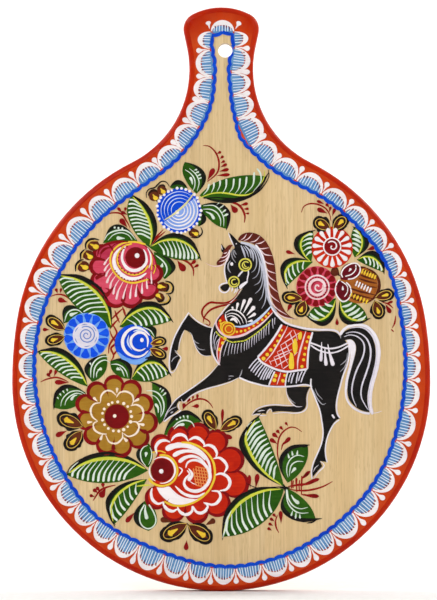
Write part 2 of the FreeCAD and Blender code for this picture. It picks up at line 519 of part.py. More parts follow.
# ---- dark red berries and drops on the twigs: (base, tip, width) ----
BERRIES = {
    "berries_upper_left": [
        ((-7.6, -71.8), (-4, -65), 2.8), ((-2.8, -69), (4.8, -68.4), 1.9),
        ((-1.4, -66.8), (4.2, -65.4), 1.9), ((-0.6, -64.4), (3.2, -62.6), 1.7),
        ((-0.4, -62.2), (2, -60.8), 1.5), ((-0.8, -59.8), (1.3, -58.2), 1.6),
        ((-2.4, -57), (-0.1, -55.8), 1.6), ((5, -84.8), (8.6, -89.2), 3.2),
        ((10.2, -85.4), (14.8, -84.2), 1.8), ((12, -87.4), (15.2, -87.2), 1.5),
        ((13, -89.8), (15.4, -89.8), 1.2), ((-24.4, -115.4), (-20, -121.4), 3.6),
        ((-17.4, -118.4), (-14, -115.6), 1.9), ((-15.6, -119.8), (-12.4, -118), 1.5),
        ((-51.5, -97.5), (-55.6, -92.8), 3), ((-51.4, -90.6), (-55, -88.8), 1.7),
        ((-54.4, -89.6), (-57, -86.6), 1.7), ((-53, -89), (-52.6, -86.4), 1.5),
        ((-84.4, -138.6), (-89.8, -137), 2.8), ((-90, -133.8), (-91, -131), 1.7),
        ((-88.6, -133.8), (-88, -130.9), 1.4)],
    "berries_left": [
        ((-94.4, -153.8), (-98.2, -153.6), 1.9), ((-32.8, -164.2), (-29.2, -164.2), 2.3),
        ((-83.6, -182.8), (-91.6, -182.6), 2.7), ((-93.6, -180), (-95.9, -177.8), 1.8),
        ((-95, -179.8), (-93.4, -175.6), 1.7), ((-92, -179.6), (-90.4, -175.4), 1.8),
        ((-84.6, -209.2), (-91, -212.2), 2.8)],
    "berries_lower": [
        ((-63.4, -240.6), (-66.4, -246), 3.4), ((-64.8, -241), (-65.2, -238), 2),
        ((-66.6, -243), (-68.6, -240.2), 1.8), ((-67.8, -243.6), (-70.4, -241.4), 2.1),
        ((-69.6, -245.6), (-72.4, -244.8), 1.8), ((-47.4, -254), (-52.4, -259.6), 2.6),
        ((-21.2, -197.4), (-20.2, -194.2), 1.9), ((-18.8, -194), (-17.4, -191.4), 1.9),
        ((-15.8, -192.8), (-15.4, -190), 1.1), ((-13.4, -192.4), (-13, -189.2), 1.5),
        ((-16.4, -196), (-12.2, -195.6), 2.2), ((0.4, -207), (0.8, -197.4), 1.7),
        ((-1.2, -210.6), (6, -213.4), 2.4), ((-19, -269.4), (-19.4, -275), 2.6)],
    "berries_bottom": [
        ((31, -216.6), (26.8, -213.8), 2.3), ((31.6, -213.4), (28.2, -210.8), 2.3),
        ((32.4, -211), (30.4, -209), 1.9), ((34.2, -209), (32.2, -207), 1.7),
        ((36.8, -206.8), (35.2, -204.6), 1.4), ((33.4, -217.6), (38, -213), 2.2),
        ((16, -241), (15.4, -233.6), 1.9), ((19, -241), (20, -233), 2.6),
        ((44, -235.4), (48.8, -231.6), 1.8), ((45, -238.6), (54, -235.8), 2),
        ((44, -244.6), (53.8, -245.4), 2.3), ((33, -260.6), (32.6, -253.4), 2.2),
        ((30.4, -257), (28.4, -255), 1.6), ((29.4, -259.2), (26.8, -257.4), 1.7),
        ((28.6, -261.6), (26, -260.2), 1.7), ((28, -264.2), (25.4, -262.8), 1.7)],
    "berries_right": [
        ((58.6, -89.8), (52.8, -87.2), 2.6), ((57, -84.8), (52.6, -82.8), 1.7),
        ((59.4, -86.6), (57.6, -84.4), 1.7), ((59.4, -89.2), (60.2, -86), 1.4),
        ((61, -91.4), (62.6, -87), 1.8), ((40.8, -112.2), (35.6, -110.6), 2),
        ((36.2, -144), (38.4, -139.6), 2.2), ((63.6, -147), (63.8, -151.2), 1.8),
        ((80, -110), (84.4, -108.4), 2.2), ((90.2, -139.6), (93.2, -144.6), 2.4),
        ((90.6, -139.4), (94.4, -138.2), 1.4)],
}

for group in (border, horse_harness, horse, flower_hearts, flowers, flower_shadows):
    for name, faces in group.items():
        lay(name, faces)
for name, items in BUDS.items():
    lay(name, [drop(*item) for item in items])
blades = {name: [leaf_faces(leaf) for leaf in leaves] for name, leaves in LEAVES.items()}
for name, pairs in blades.items():
    lay("leaves_" + name, [pair[0] for pair in pairs])
for name, pairs in blades.items():
    lay("leaf_shadows_" + name, [pair[1] for pair in pairs])
for name, items in BERRIES.items():
    lay(name, [drop(*item) for item in items])
for name, faces in films.items():
    export(name, film_solid(faces, FILM, COAT if name in border else 0.0))
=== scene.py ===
import bpy
import math
import random
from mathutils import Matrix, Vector, noise


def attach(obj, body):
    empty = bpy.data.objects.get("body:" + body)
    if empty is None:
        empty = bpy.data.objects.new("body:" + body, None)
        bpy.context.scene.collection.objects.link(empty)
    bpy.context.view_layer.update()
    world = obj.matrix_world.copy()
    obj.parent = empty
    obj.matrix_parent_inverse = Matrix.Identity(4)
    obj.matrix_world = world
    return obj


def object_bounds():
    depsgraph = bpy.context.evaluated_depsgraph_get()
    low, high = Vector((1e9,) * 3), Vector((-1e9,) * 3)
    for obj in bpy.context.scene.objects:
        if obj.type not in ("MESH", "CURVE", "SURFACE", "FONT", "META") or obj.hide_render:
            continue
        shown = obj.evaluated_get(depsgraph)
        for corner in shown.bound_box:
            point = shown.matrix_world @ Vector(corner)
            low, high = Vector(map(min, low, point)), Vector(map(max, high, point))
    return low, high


# Looks of a hand-painted round wooden board.  Strokes are drawn in (u, v) millimetres:
# u to the right of the board's centre line, v above the axis of the hanging hole.
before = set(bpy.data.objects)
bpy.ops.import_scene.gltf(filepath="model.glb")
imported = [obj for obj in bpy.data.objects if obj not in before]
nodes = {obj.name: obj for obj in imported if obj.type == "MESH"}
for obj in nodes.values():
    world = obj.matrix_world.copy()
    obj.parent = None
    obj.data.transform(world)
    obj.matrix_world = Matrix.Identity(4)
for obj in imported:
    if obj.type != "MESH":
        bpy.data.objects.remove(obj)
cad_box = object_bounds()
scene = bpy.context.scene
scene.view_settings.view_transform = "Standard"

MM = 0.001
HOLE_OFFSET = 2.2        # the hole's axis is this far right of the centre line
WOOD_TOP = 11.0          # distance of the bare wood's face from the back
FILM_TOP = 11.2          # of a colour film's face
LACE_TOP = 11.45         # of the border films' faces
ROOT = 10.9              # strokes reach down into the wood
BORDER_ROOT = 11.15      # strokes on the border films reach down to here
SEED = 7

dice = random.Random(SEED)


# ---- colour ----
def linear(channel):
    c = channel / 255.0
    return c / 12.92 if c <= 0.04045 else ((c + 0.055) / 1.055) ** 2.4


def rgb(red, green, blue):
    return (linear(red), linear(green), linear(blue), 1.0)


# ---- materials ----
class Nodes:
    """Short names for building a node tree."""

    def __init__(self, name):
        self.material = bpy.data.materials.new(name)
        self.material.use_nodes = True
        self.tree = self.material.node_tree
        self.shader = self.tree.nodes["Principled BSDF"]
        self.place = self.add("ShaderNodeTexCoord").outputs["Object"]

    def add(self, kind, **settings):
        node = self.tree.nodes.new(kind)
        for key, value in settings.items():
            setattr(node, key, value)
        return node

    def link(self, source, target):
        self.tree.links.new(source, target)

    def stretched(self, sx, sy, sz, turn=0.0):
        node = self.add("ShaderNodeMapping")
        node.inputs["Scale"].default_value = (sx, sy, sz)
        node.inputs["Rotation"].default_value = (0.0, turn, 0.0)
        self.link(self.place, node.inputs["Vector"])
        return node.outputs["Vector"]

    def noise(self, vector, scale, detail=3.0, rough=0.55):
        node = self.add("ShaderNodeTexNoise")
        node.inputs["Scale"].default_value = scale
        node.inputs["Detail"].default_value = detail
        node.inputs["Roughness"].default_value = rough
        self.link(vector, node.inputs["Vector"])
        return node.outputs["Fac"]

    def spread(self, value, low, high, to_low=0.0, to_high=1.0):
        node = self.add("ShaderNodeMapRange")
        node.inputs["From Min"].default_value = low
        node.inputs["From Max"].default_value = high
        node.inputs["To Min"].default_value = to_low
        node.inputs["To Max"].default_value = to_high
        self.link(value, node.inputs["Value"])
        return node.outputs["Result"]

    def feed(self, socket, value):
        if isinstance(value, bpy.types.NodeSocket):
            self.link(value, socket)
        else:
            socket.default_value = value

    def blend(self, factor, a, b):
        node = self.add("ShaderNodeMix", data_type="RGBA")
        for index, value in ((0, factor), (6, a), (7, b)):      # the colour mix's own sockets
            self.feed(node.inputs[index], value)
        return node.outputs[2]

    def maths(self, operation, a, b):
        node = self.add("ShaderNodeMath", operation=operation)
        self.feed(node.inputs[0], a)
        self.feed(node.inputs[1], b)
        return node.outputs[0]

    def bump(self, height, distance):
        node = self.add("ShaderNodeBump")
        node.inputs["Strength"].default_value = 1.0
        node.inputs["Distance"].default_value = distance
        self.link(height, node.inputs["Height"])
        self.link(node.outputs["Normal"], self.shader.inputs["Normal"])

    def finish(self, colour, rough, coat=0.04, coat_rough=0.2, gloss=0.1):
        self.link(colour, self.shader.inputs["Base Color"])
        self.link(rough, self.shader.inputs["Roughness"])
        self.shader.inputs["Coat Weight"].default_value = coat
        self.shader.inputs["Coat Roughness"].default_value = coat_rough
        self.shader.inputs["Specular IOR Level"].default_value = gloss
        return self.material


def paint(name, full, thin, dark=None, patch=60.0, loaded=False):
    """Opaque brushed paint: 'thin' shows where the brush ran dry, 'dark' where paint pooled.
    A loaded brush also runs dry along its stroke."""
    n = Nodes(name)
    hairs = n.noise(n.stretched(90, 90, 900, 0.4), 1.0, 4.0, 0.6)
    cloud = n.noise(n.place, patch, 3.0, 0.6)
    cover = n.spread(n.maths("ADD", hairs, cloud), 0.72, 1.12)
    if loaded:
        load = n.add("ShaderNodeAttribute", attribute_name="load").outputs["Fac"]
        cover = n.maths("MULTIPLY", n.spread(cover, 0.0, 1.0, 0.72, 1.0), load)
    colour = n.blend(cover, rgb(*thin), rgb(*full))
    if dark:
        pooled = n.spread(n.noise(n.place, patch * 2.3, 2.0), 0.55, 0.8, 0.0, 0.75)
        colour = n.blend(pooled, colour, rgb(*dark))
    rough = n.spread(hairs, 0.3, 0.7, 0.36, 0.56)
    n.bump(n.maths("ADD", hairs, n.maths("MULTIPLY", cloud, 0.6)), 0.00006)
    return n.finish(colour, rough)


def gouache(name, full, thin):
    """Paint of the strokes: it thins as the brush empties."""
    return paint(name + "_gouache", full, thin, loaded=True)


def linden(name, tone, shift):
    """Varnished linden stave: fine upright grain, soft growth bands, short dark flecks."""
    n = Nodes(name)
    place = n.add("ShaderNodeVectorMath", operation="ADD")
    place.inputs[1].default_value = (shift, shift * 0.37, shift * 1.7)
    n.link(n.place, place.inputs[0])
    n.place = place.outputs[0]
    bands = n.noise(n.stretched(95, 95, 4.5), 1.0, 3.0, 0.55)
    fibres = n.noise(n.stretched(1100, 1100, 26), 1.0, 3.0, 0.65)
    flecks = n.noise(n.stretched(1500, 1500, 170), 1.0, 1.0, 0.5)
    cloud = n.noise(n.place, 22.0, 2.0)
    light, warm, grey = [tuple(min(255, c * tone) for c in shade)
                         for shade in ((225, 199, 154), (215, 185, 137), (194, 165, 120))]
    colour = n.blend(n.spread(bands, 0.36, 0.64), rgb(*light), rgb(*warm))
    colour = n.blend(n.spread(fibres, 0.4, 0.66, 0.0, 0.7), colour, rgb(*grey))
    colour = n.blend(n.spread(flecks, 0.61, 0.74, 0.0, 0.42), colour, rgb(176, 142, 96))
    colour = n.blend(n.spread(cloud, 0.35, 0.7, 0.0, 0.35), colour, rgb(218, 188, 134))
    rough = n.spread(fibres, 0.3, 0.7, 0.34, 0.52)
    n.bump(n.maths("ADD", fibres, n.maths("MULTIPLY", flecks, -0.5)), 0.00005)
    return n.finish(colour, rough, 0.1, 0.25, 0.2)


def dress(material, *names):
    for name in names:
        piece = nodes[name]
        piece.data.materials.clear()
        piece.data.materials.append(material)


# ---- lines ----
def steps_along(points, step=0.7):
    """Smooth curve through given points, as evenly spaced points."""
    if len(points) == 2:
        count = max(4, int(math.dist(*points) / step))
        a, b = Vector(points[0]), Vector(points[1])
        return [tuple(a.lerp(b, i / count)) for i in range(count + 1)]
    ends = [tuple(2 * a - b for a, b in zip(points[0], points[1]))]
    ends += list(points)
    ends.append(tuple(2 * a - b for a, b in zip(points[-1], points[-2])))
    dense = []
    for p0, p1, p2, p3 in zip(ends, ends[1:], ends[2:], ends[3:]):
        count = max(3, int(math.dist(p1, p2) / step * 2))
        for i in range(count):
            t = i / count
            dense.append(tuple(
                0.5 * (2 * b + (c - a) * t + (2 * a - 5 * b + 4 * c - d) * t * t
                       + (3 * b - a - 3 * c + d) * t ** 3)
                for a, b, c, d in zip(p0, p1, p2, p3)))
    dense.append(tuple(points[-1]))
    lengths = [0.0]
    for a, b in zip(dense, dense[1:]):
        lengths.append(lengths[-1] + math.dist(a, b))
    count = max(5, int(lengths[-1] / step))
    result = []
    k = 0
    for i in range(count + 1):
        goal = lengths[-1] * i / count
        while k < len(lengths) - 2 and lengths[k + 1] < goal:
            k += 1
        span = lengths[k + 1] - lengths[k]
        t = (goal - lengths[k]) / span if span else 0.0
        result.append(tuple(a + (b - a) * t for a, b in zip(dense[k], dense[k + 1])))
    return result


SPIRAL_STEP = 0.42           # radians from one point of a spiral to the next
SHAPES = {                   # share of a stroke's full width at the fraction f of its length
    "line": lambda f: 1.0,
    "arc": lambda f: 0.3 + 0.7 * math.sin(math.pi * f) ** 0.8,
    "lens": lambda f: 0.12 + 0.88 * math.sin(math.pi * f),
    "drop": lambda f: 0.22 + 0.78 * min(1.0, f / 0.8) ** 1.3,
    "comet": lambda f: 0.22 + 0.78 * min(1.0, (1 - f) / 0.9) ** 0.75,
    "hair": lambda f: 0.35 + 0.65 * (1 - f) ** 0.6,
}


# ---- the painter's notation ----
def spots(text):
    """Places written as 'u,v u,v ...', or with further numbers behind the comma."""
    return [tuple(float(number) for number in word.split(",")) for word in text.split()]


def read_strokes(text, shape="arc"):
    """Strokes written as 'width u,v u,v ...'.  A word after the width is the stroke's shape, and
    '/' starts another stroke of the same width and shape."""
    strokes = []
    for word in text.split():
        if word == "/":
            strokes.append(([],) + strokes[-1][1:])
        elif word in SHAPES:
            strokes[-1] = strokes[-1][:2] + (word,)
        elif "," in word:
            strokes[-1][0].extend(spots(word))
        else:
            strokes.append(([], float(word), shape))
    return strokes


# ---- brush strokes ----
RIDGE = 0.5                  # a stroke is flat-topped over this share of its width
WOBBLE = 0.07                # how far a hand-drawn stroke strays sideways


class Strokes:
    """Brush strokes of one paint, gathered into one closed mesh piece.  Their edges stand 'lift'
    above a face of the board, and they reach down to 'root'."""

    def __init__(self, name, material, lift, face=FILM_TOP, root=ROOT):
        self.name = name
        self.material = material
        self.top = face + lift
        self.root = root
        self.verts = []
        self.faces = []
        self.loads = []

    def place(self, u, v, y, load=1.0):
        self.verts.append(((u - HOLE_OFFSET) * MM, -y * MM, v * MM))
        self.loads.append(load)

    def join(self, first, count, rings):
        """Walls between rings of 'count' points each."""
        for ring in range(rings - 1):
            for i in range(count):
                a = first + ring * count + i
                b = first + ring * count + (i + 1) % count
                self.faces.append((a, b, b + count, a + count))

    def close(self, first, count):
        """Bottom of a dab, facing away from the viewer."""
        self.faces.append(tuple(first + i for i in reversed(range(count))))

    def stroke(self, points, width, shape="arc", step=0.7, load=(1.0, 0.75)):
        """One stroke; the paint's load goes from the first value to the second along it."""
        line = steps_along(points, step)
        total = sum(math.dist(a, b) for a, b in zip(line, line[1:]))
        cap = min(0.5 * width, 0.3 * total)
        seed = dice.uniform(0, 100)
        first = len(self.verts)
        shrink = dice.uniform(0.92, 1.06)
        lift = min(0.16, 0.05 + 0.09 * width)
        near_start = Vector(line[0]).lerp(Vector(line[1]), 0.3)
        near_end = Vector(line[-1]).lerp(Vector(line[-2]), 0.3)
        line = [line[0], tuple(near_start)] + line[1:-1] + [tuple(near_end), line[-1]]
        travelled = 0.0
        for i, point in enumerate(line):
            if i:
                travelled += math.dist(point, line[i - 1])
            f = min(1.0, travelled / total)
            before, after = line[max(0, i - 1)], line[min(len(line) - 1, i + 1)]
            ahead = Vector((after[0] - before[0], after[1] - before[1])).normalized()
            side = Vector((-ahead.y, ahead.x))
            sway = WOBBLE * noise.noise(Vector((seed, travelled * 0.22, 0.0)))
            swell = 1.0 + 0.16 * noise.noise(Vector((travelled * 0.45, seed, 4.0)))
            reach = min(travelled, total - travelled)
            if reach < cap:
                swell *= math.sqrt(max(0.04, 1 - ((cap - reach) / cap) ** 2))
            half = 0.5 * width * shrink * swell * SHAPES[shape](f)
            centre = Vector(point) + side * sway
            crest = self.top + lift * min(1.0, 0.35 + half / (0.5 * width))
            for across, y in ((-1.0, self.root), (-1.0, self.top), (-RIDGE, crest),
                              (RIDGE, crest), (1.0, self.top), (1.0, self.root)):
                spot = centre + side * (half * across)
                self.place(spot.x, spot.y, y, load[0] + (load[1] - load[0]) * f)
        self.join(first, 6, len(line))
        self.close(first, 6)
        last = first + 6 * (len(line) - 1)
        self.faces.append(tuple(last + j for j in range(6)))

    def draw(self, text, shape="arc", step=0.7, load=(1.0, 0.75), weight=1.0):
        """Strokes in the painter's notation; 'weight' makes them all thinner or thicker."""
        for points, width, own_shape in read_strokes(text, shape):
            self.stroke(points, weight * width, own_shape, step, load)

    def dot(self, u, v, r, squash=1.0):
        """A dab: round, slightly uneven, domed."""
        count = 12 if r < 1.2 else 20
        seed = dice.uniform(0, 100)
        first = len(self.verts)
        lift = min(0.18, 0.08 + 0.06 * r)
        for share, y in ((1.0, self.root), (1.0, self.top), (0.62, self.top + lift * 0.85)):
            for i in range(count):
                angle = 2 * math.pi * i / count
                bulge = noise.noise(Vector((seed, math.cos(angle), math.sin(angle))))
                bulge = r * share * (1 + 0.07 * bulge)
                self.place(u + bulge * math.cos(angle), v + bulge * squash * math.sin(angle), y)
        self.place(u, v, self.top + lift)
        self.join(first, count, 3)
        peak = first + 3 * count
        for i in range(count):
            self.faces.append((peak - count + i, peak - count + (i + 1) % count, peak))
        self.close(first, count)

    def fill(self, points, inset=0.18):
        """Flat dab of paint with a rounded edge, bounded by a closed run of points."""
        line = steps_along(points + [points[0]], 0.6)[:-1]
        area = sum(a[0] * b[1] - b[0] * a[1] for a, b in zip(line, line[1:] + line[:1]))
        if area < 0:
            line.reverse()
        count = len(line)
        first = len(self.verts)
        for pull, y in ((0.0, self.root), (0.0, self.top), (inset, self.top + 0.07)):
            for i, point in enumerate(line):
                before, after = line[i - 1], line[(i + 1) % count]
                ahead = Vector((after[0] - before[0], after[1] - before[1])).normalized()
                self.place(point[0] - ahead.y * pull, point[1] + ahead.x * pull, y)
        self.join(first, count, 3)
        self.faces.append(tuple(first + 2 * count + i for i in range(count)))
        self.close(first, count)

    def finish(self):
        mesh = bpy.data.meshes.new(self.name)
        mesh.from_pydata(self.verts, [], self.faces)
        mesh.validate()
        attribute = mesh.attributes.new("load", "FLOAT", "POINT")
        attribute.data.foreach_set("value", self.loads)
        for face in mesh.polygons:
            face.use_smooth = True
        piece = bpy.data.objects.new(self.name, mesh)
        scene.collection.objects.link(piece)
        mesh.materials.append(self.material)
        mesh.update()
        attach(piece, "root")


def finish_all(*pieces):
    for piece in pieces:
        piece.finish()


def polar(centre, r, angle):
    """Point at the distance r from a centre; the angle is in radians."""
    return (centre[0] + r * math.cos(angle), centre[1] + r * math.sin(angle))


def circle(u, v, r, start=0.0, end=360.0, count=16):
    """Points of an arc about (u, v); angles in degrees, anticlockwise from the right."""
    return [polar((u, v), r, math.radians(start + (end - start) * i / count))
            for i in range(count + 1)]


def spiral(centre, start, growth, count, turn=0.0):
    """Points of a spiral whose radius grows by 'growth' from one to the next."""
    return [polar(centre, start + growth * k, SPIRAL_STEP * k + turn) for k in range(count)]


def petal_ring(piece, centre, inner, outer, count, turn, width):
    """Drop-shaped petals all round a centre."""
    for k in range(count):
        angle = 2 * math.pi * (k + turn) / count
        piece.stroke([polar(centre, inner, angle), polar(centre, outer, angle)], width, "drop", 0.6)


def petal_gaps(piece, petals, centre, inner, outer, width):
    """Thin strokes where one petal meets the next, pointing at the flower's centre."""
    for a, b in zip(petals, petals[1:]):
        joint = (Vector(a) + Vector(b)) / 2
        start = Vector(centre).lerp(joint, inner)
        end = Vector(centre).lerp(joint, outer)
        sway = Vector((end.y - start.y, start.x - end.x)) * dice.uniform(-0.08, 0.08)
        middle = start.lerp(end, 0.5) + sway
        piece.stroke([tuple(start), tuple(middle), tuple(end)], width, "drop", 0.6)


def bowed(a, b, du, dv):
    """Two ends with a middle point moved aside."""
    return [a, ((a[0] + b[0]) / 2 + du, (a[1] + b[1]) / 2 + dv), b]


# ---- paints ----
WHITE = gouache("white", (248, 241, 243), (216, 206, 210))
LILAC_WHITE = gouache("lilac_white", (226, 221, 234), (164, 156, 178))
PALE_PINK = gouache("pale_pink", (246, 222, 226), (205, 130, 120))
SKY_WHITE = gouache("sky_white", (214, 226, 246), (120, 150, 215))
GREY_WHITE = gouache("dry_white", (190, 188, 196), (80, 78, 82))
MINT_WHITE = gouache("mint_white", (230, 239, 229), (158, 188, 156))
YELLOW = gouache("yellow", (240, 206, 58), (206, 148, 30))
LIME = gouache("lime", (216, 218, 74), (164, 174, 48))
GOLD = gouache("gold_ochre", (226, 190, 92), (170, 118, 44))
CREAM = gouache("cream", (226, 222, 160), (200, 190, 110))
MAROON = paint("maroon_gouache", (112, 0, 6), (128, 4, 8), (90, 0, 4))
TWIG = gouache("twig_red", (140, 8, 6), (160, 40, 24))
BLACK = gouache("black", (14, 10, 8), (34, 26, 20))
BROWN = paint("brown_gouache", (84, 30, 10), (100, 44, 18), (50, 16, 6))
SHADE_RED = paint("shade_red_gouache", (122, 0, 6), (140, 4, 12), (96, 0, 4))

dress(paint("black_horse_paint", (17, 14, 14), (28, 24, 22), (10, 8, 8)),
      "horse_body", "horse_raised_foreleg", "horse_far_hindleg", "horse_tail", "horse_muzzle",
      "horse_far_ear")
dress(paint("mane_paint", (92, 30, 20), (112, 44, 30), (66, 18, 12)), "horse_mane", "horse_forelock")
dress(paint("harness_paint", (178, 26, 2), (192, 48, 8), (148, 14, 1)),
      "saddle_cloth", "girth_strap", "breast_collar")
dress(paint("bridle_ring_paint", (214, 204, 84), (196, 180, 60), (180, 160, 44)),
      "bridle_rings")
dress(paint("roundel_paint", (176, 50, 4), (196, 80, 14), (150, 32, 2)), "breast_roundel")
dress(MAROON, "pink_flower_heart", "ochre_flower_heart", "red_rose_heart")
dress(paint("deep_blue_paint", (0, 66, 206), (8, 84, 218), (0, 48, 176)),
      "blue_rose", "blue_flower", "blue_flower_heart")
dress(paint("light_blue_paint", (100, 156, 236), (122, 174, 242), (80, 138, 224)), "blue_daisy")
dress(paint("pink_paint", (204, 60, 86), (214, 82, 106), (180, 42, 66)),
      "pink_flower_petals", "crimson_rosette")
dress(paint("ochre_paint", (160, 114, 30), (172, 130, 44), (146, 98, 20)), "ochre_flower_petals")
dress(paint("vermilion_paint", (186, 28, 0), (202, 46, 4), (160, 16, 0)),
      "red_rose_petals", "red_daisy")
dress(paint("striped_bud_paint", (158, 86, 26), (176, 106, 42), (136, 66, 14)), "striped_bud")
dress(SHADE_RED, "pink_flower_shadow", "ochre_flower_shadow", "red_rose_shadow")
dress(paint("wine_paint", (96, 2, 20), (110, 10, 28), (74, 0, 10)), "striped_bud_petals")
dress(paint("bud_paint", (30, 14, 6), (46, 24, 12), (20, 8, 4)),
      "buds_upper_left", "buds_left", "buds_lower", "buds_right")
dress(paint("leaf_paint", (34, 80, 2), (50, 96, 10), (22, 62, 1)),
      "leaves_upper_left", "leaves_left", "leaves_lower_left", "leaves_bottom", "leaves_right")
dress(paint("leaf_shadow_paint", (14, 16, 10), (24, 34, 14), (8, 9, 7)),
      "leaf_shadows_upper_left", "leaf_shadows_left", "leaf_shadows_lower_left",
      "leaf_shadows_bottom", "leaf_shadows_right")
dress(paint("berry_paint", (128, 4, 8), (146, 16, 14), (104, 0, 4)),
      "berries_upper_left", "berries_left", "berries_lower", "berries_bottom", "berries_right")
dress(paint("line_blue_paint", (0, 62, 192), (4, 78, 206), (0, 46, 166)), "blue_line")
dress(paint("lace_white_paint", (246, 238, 239), (230, 220, 222), (238, 228, 228)),
      "lace_scallops", "lace_drops")
dress(paint("wash_paint", (84, 134, 184), (112, 158, 202), (66, 112, 168), patch=110.0), "lace_wash")


def red_ground():
    """Glossy red ground coat: pooled darker patches, brush hairs and a painted highlight that lightens
    the rounded edge to warm orange.
    """
    n = Nodes("red_ground_paint")
    hairs = n.noise(n.stretched(140, 700, 140, 0.3), 1.0, 4.0, 0.6)
    cloud = n.noise(n.place, 30.0, 4.0, 0.6)
    colour = n.blend(n.spread(cloud, 0.35, 0.65), rgb(170, 28, 0), rgb(188, 44, 0))
    colour = n.blend(n.spread(hairs, 0.35, 0.7, 0.0, 0.4), colour, rgb(150, 20, 0))
    # painted highlight: where the surface curves sharply at the rim, the red is lightened toward orange
    edge = n.add("ShaderNodeNewGeometry").outputs["Pointiness"]
    colour = n.blend(n.spread(edge, 0.515, 0.6, 0.0, 0.75), colour, rgb(230, 100, 38))
    rough = n.spread(hairs, 0.3, 0.7, 0.22, 0.36)
    n.bump(n.maths("ADD", hairs, cloud), 0.00008)
    return n.finish(colour, rough, 0.1, 0.08, 0.05)


dress(red_ground(), "red_rim_coat")
for index, stave in enumerate(("stave_far_left", "stave_left", "stave_centre", "stave_right",
                               "stave_far_right")):
    dress(linden("linden_%d" % (index + 1), (0.985, 1.01, 0.995, 1.015, 0.99)[index], 0.137 * index),
          stave)

# ---- the border: lace rays ----
PATH = spots("""
    -4.4,7.8 -1.4,9.1 2.2,9.6 5.6,8.6 6.5,4.5 5.6,-2 4.4,-9 5.1,-21 6.2,-30.5 8.3,-40 10.4,-47.3
    15.5,-53.8 24.5,-62.4 42.9,-74 58.9,-82.9 74.9,-96.5 89.4,-114.9 98.2,-142 101.4,-172 97.7,-205
    85.2,-236.3 63.6,-260.5 36.7,-277 0,-284 -39.2,-273.3 -68.8,-256.4 -80.3,-242.8 -90.4,-226.2
    -101.5,-192 -102.5,-165 -97.7,-142.3 -87.7,-120 -66.2,-92.3 -44.6,-75.4 -25.4,-60.8 -14.2,-47.3
    -8.7,-37.5 -5.3,-27.7 -3.8,-15 -3.7,-7 -4.9,0 -5.3,4.6""")
DROPS = spots("""
    -7,14.5 9.5,14.5 14.3,1 14.3,-12 14.5,-23.7 17.8,-35.6 23.5,-47 31.9,-58 44.5,-65.2 58.1,-74
    71.7,-83.3 83,-94.5 93.4,-107.5 100.6,-123.3 104.6,-137.7 107,-151.8 108,-167.2 108,-181.5
    106.7,-198.2 103.1,-216.6 97.3,-232.3 88.7,-246.2 78.4,-260.1 65,-271.3 52.4,-279.4 38.7,-285.2
    23.9,-290.2 8.2,-292 -6,-292.4 -19.6,-290.3 -34.3,-287 -48.9,-281.2 -61.2,-273.3 -72.9,-264.1
    -83,-253.4 -92.8,-240.8 -98.9,-226.9 -104.9,-211.9 -108.3,-196.1 -109.7,-181.5 -109.7,-165.8
    -107.8,-148.4 -104.5,-131.5 -97.7,-116 -88.1,-102.3 -76.3,-88.1 -63.2,-77.7 -49.6,-68.1 -36.8,-60.4
    -26.5,-50.5 -20,-38.3 -14.5,-26.8 -12.3,-14.3 -12.3,-0.2""")
border_line = steps_along(PATH + [PATH[0]], 0.8)


def nearest(point):
    """Nearest point of the border line and the outward direction there."""
    k = min(range(len(border_line) - 1), key=lambda i: math.dist(border_line[i], point))
    here, after = border_line[k], border_line[k + 1]
    ahead = Vector((after[0] - here[0], after[1] - here[1])).normalized()
    return Vector(here), Vector((-ahead.y, ahead.x))


ROOT_LINE = 1.4              # scallop ends sit this far outside the path
SCALLOP_OVER = 1.7           # scallop crowns stand this far past the drops' centres
SCALLOP_BAND = 2.7           # white band at a scallop's crown
HEAD_ROOTS = {0: (-5.9, 10.4), 1: (7.3, 10.4)}       # scallop ends beside the head's two corners
RAYS_PER_MM = 0.52           # along the chord of a scallop


def scallop_end(index):
    """Where two scallops meet under a drop, and how far the drop reaches from the path."""
    tip = DROPS[index]
    here, out = nearest(tip)
    root = here + out * ROOT_LINE
    if index in HEAD_ROOTS:
        root = Vector(HEAD_ROOTS[index])
    return root, (Vector(tip) - root).length + ROOT_LINE


rays = Strokes("lace_rays", gouache("lace_ray", (238, 243, 250), (168, 196, 222)),
               0.02, LACE_TOP, BORDER_ROOT)
slivers = Strokes("lace_slivers", gouache("sliver", (104, 12, 10), (136, 26, 16)),
                  0.01, LACE_TOP, BORDER_ROOT)
for index in range(len(DROPS)):
    left, reach = scallop_end(index)
    right, next_reach = scallop_end((index + 1) % len(DROPS))
    opening = (reach + next_reach) / 2 - ROOT_LINE + SCALLOP_OVER - SCALLOP_BAND
    chord = right - left
    upward = Vector((-chord.y, chord.x)).normalized()
    count = round(chord.length * RAYS_PER_MM)
    for k in range(count):
        f = 0.5 + 0.82 * ((k + 0.5 + dice.uniform(-0.14, 0.14)) / count - 0.5)
        height = opening * math.sqrt(1 - ((f - 0.5) / 0.45) ** 2) + 0.4
        foot = left + chord * f - upward * 0.1
        top = foot + upward * height + chord.normalized() * (0.5 - f) * 0.8
        rays.stroke([tuple(foot), tuple(top)], 0.5, "line", 0.9, (0.72, 1.0))
        if k and dice.random() < 0.7:
            f -= 0.41 / count
            foot = left + chord * f
            a = foot + upward * (height - dice.uniform(1.3, 2.8))
            b = foot + upward * (height - 0.3)
            slivers.stroke([tuple(a), tuple(b)], 0.68, "drop", 0.6)
finish_all(rays, slivers)


# ---- leaves: midribs and veins follow the blades ----
LEAF_SHADOW = 2.6            # width of the dark band along a leaf's shadow side
VEIN_LEAN = 0.18             # how far a vein sweeps towards the tip, as a share of the leaf
LAST_VEIN = 0.84             # where the last vein leaves the midrib; the first leaves it at 0.1
FIRST_VEIN = {(-60.5, -153.0): 0.15}         # but here the blade's foot is covered
SHORTEST_VEIN = 1.6
VEIN_WIDTH = {"line": 0.85, "drop": 1.25, "arc": 1.35}


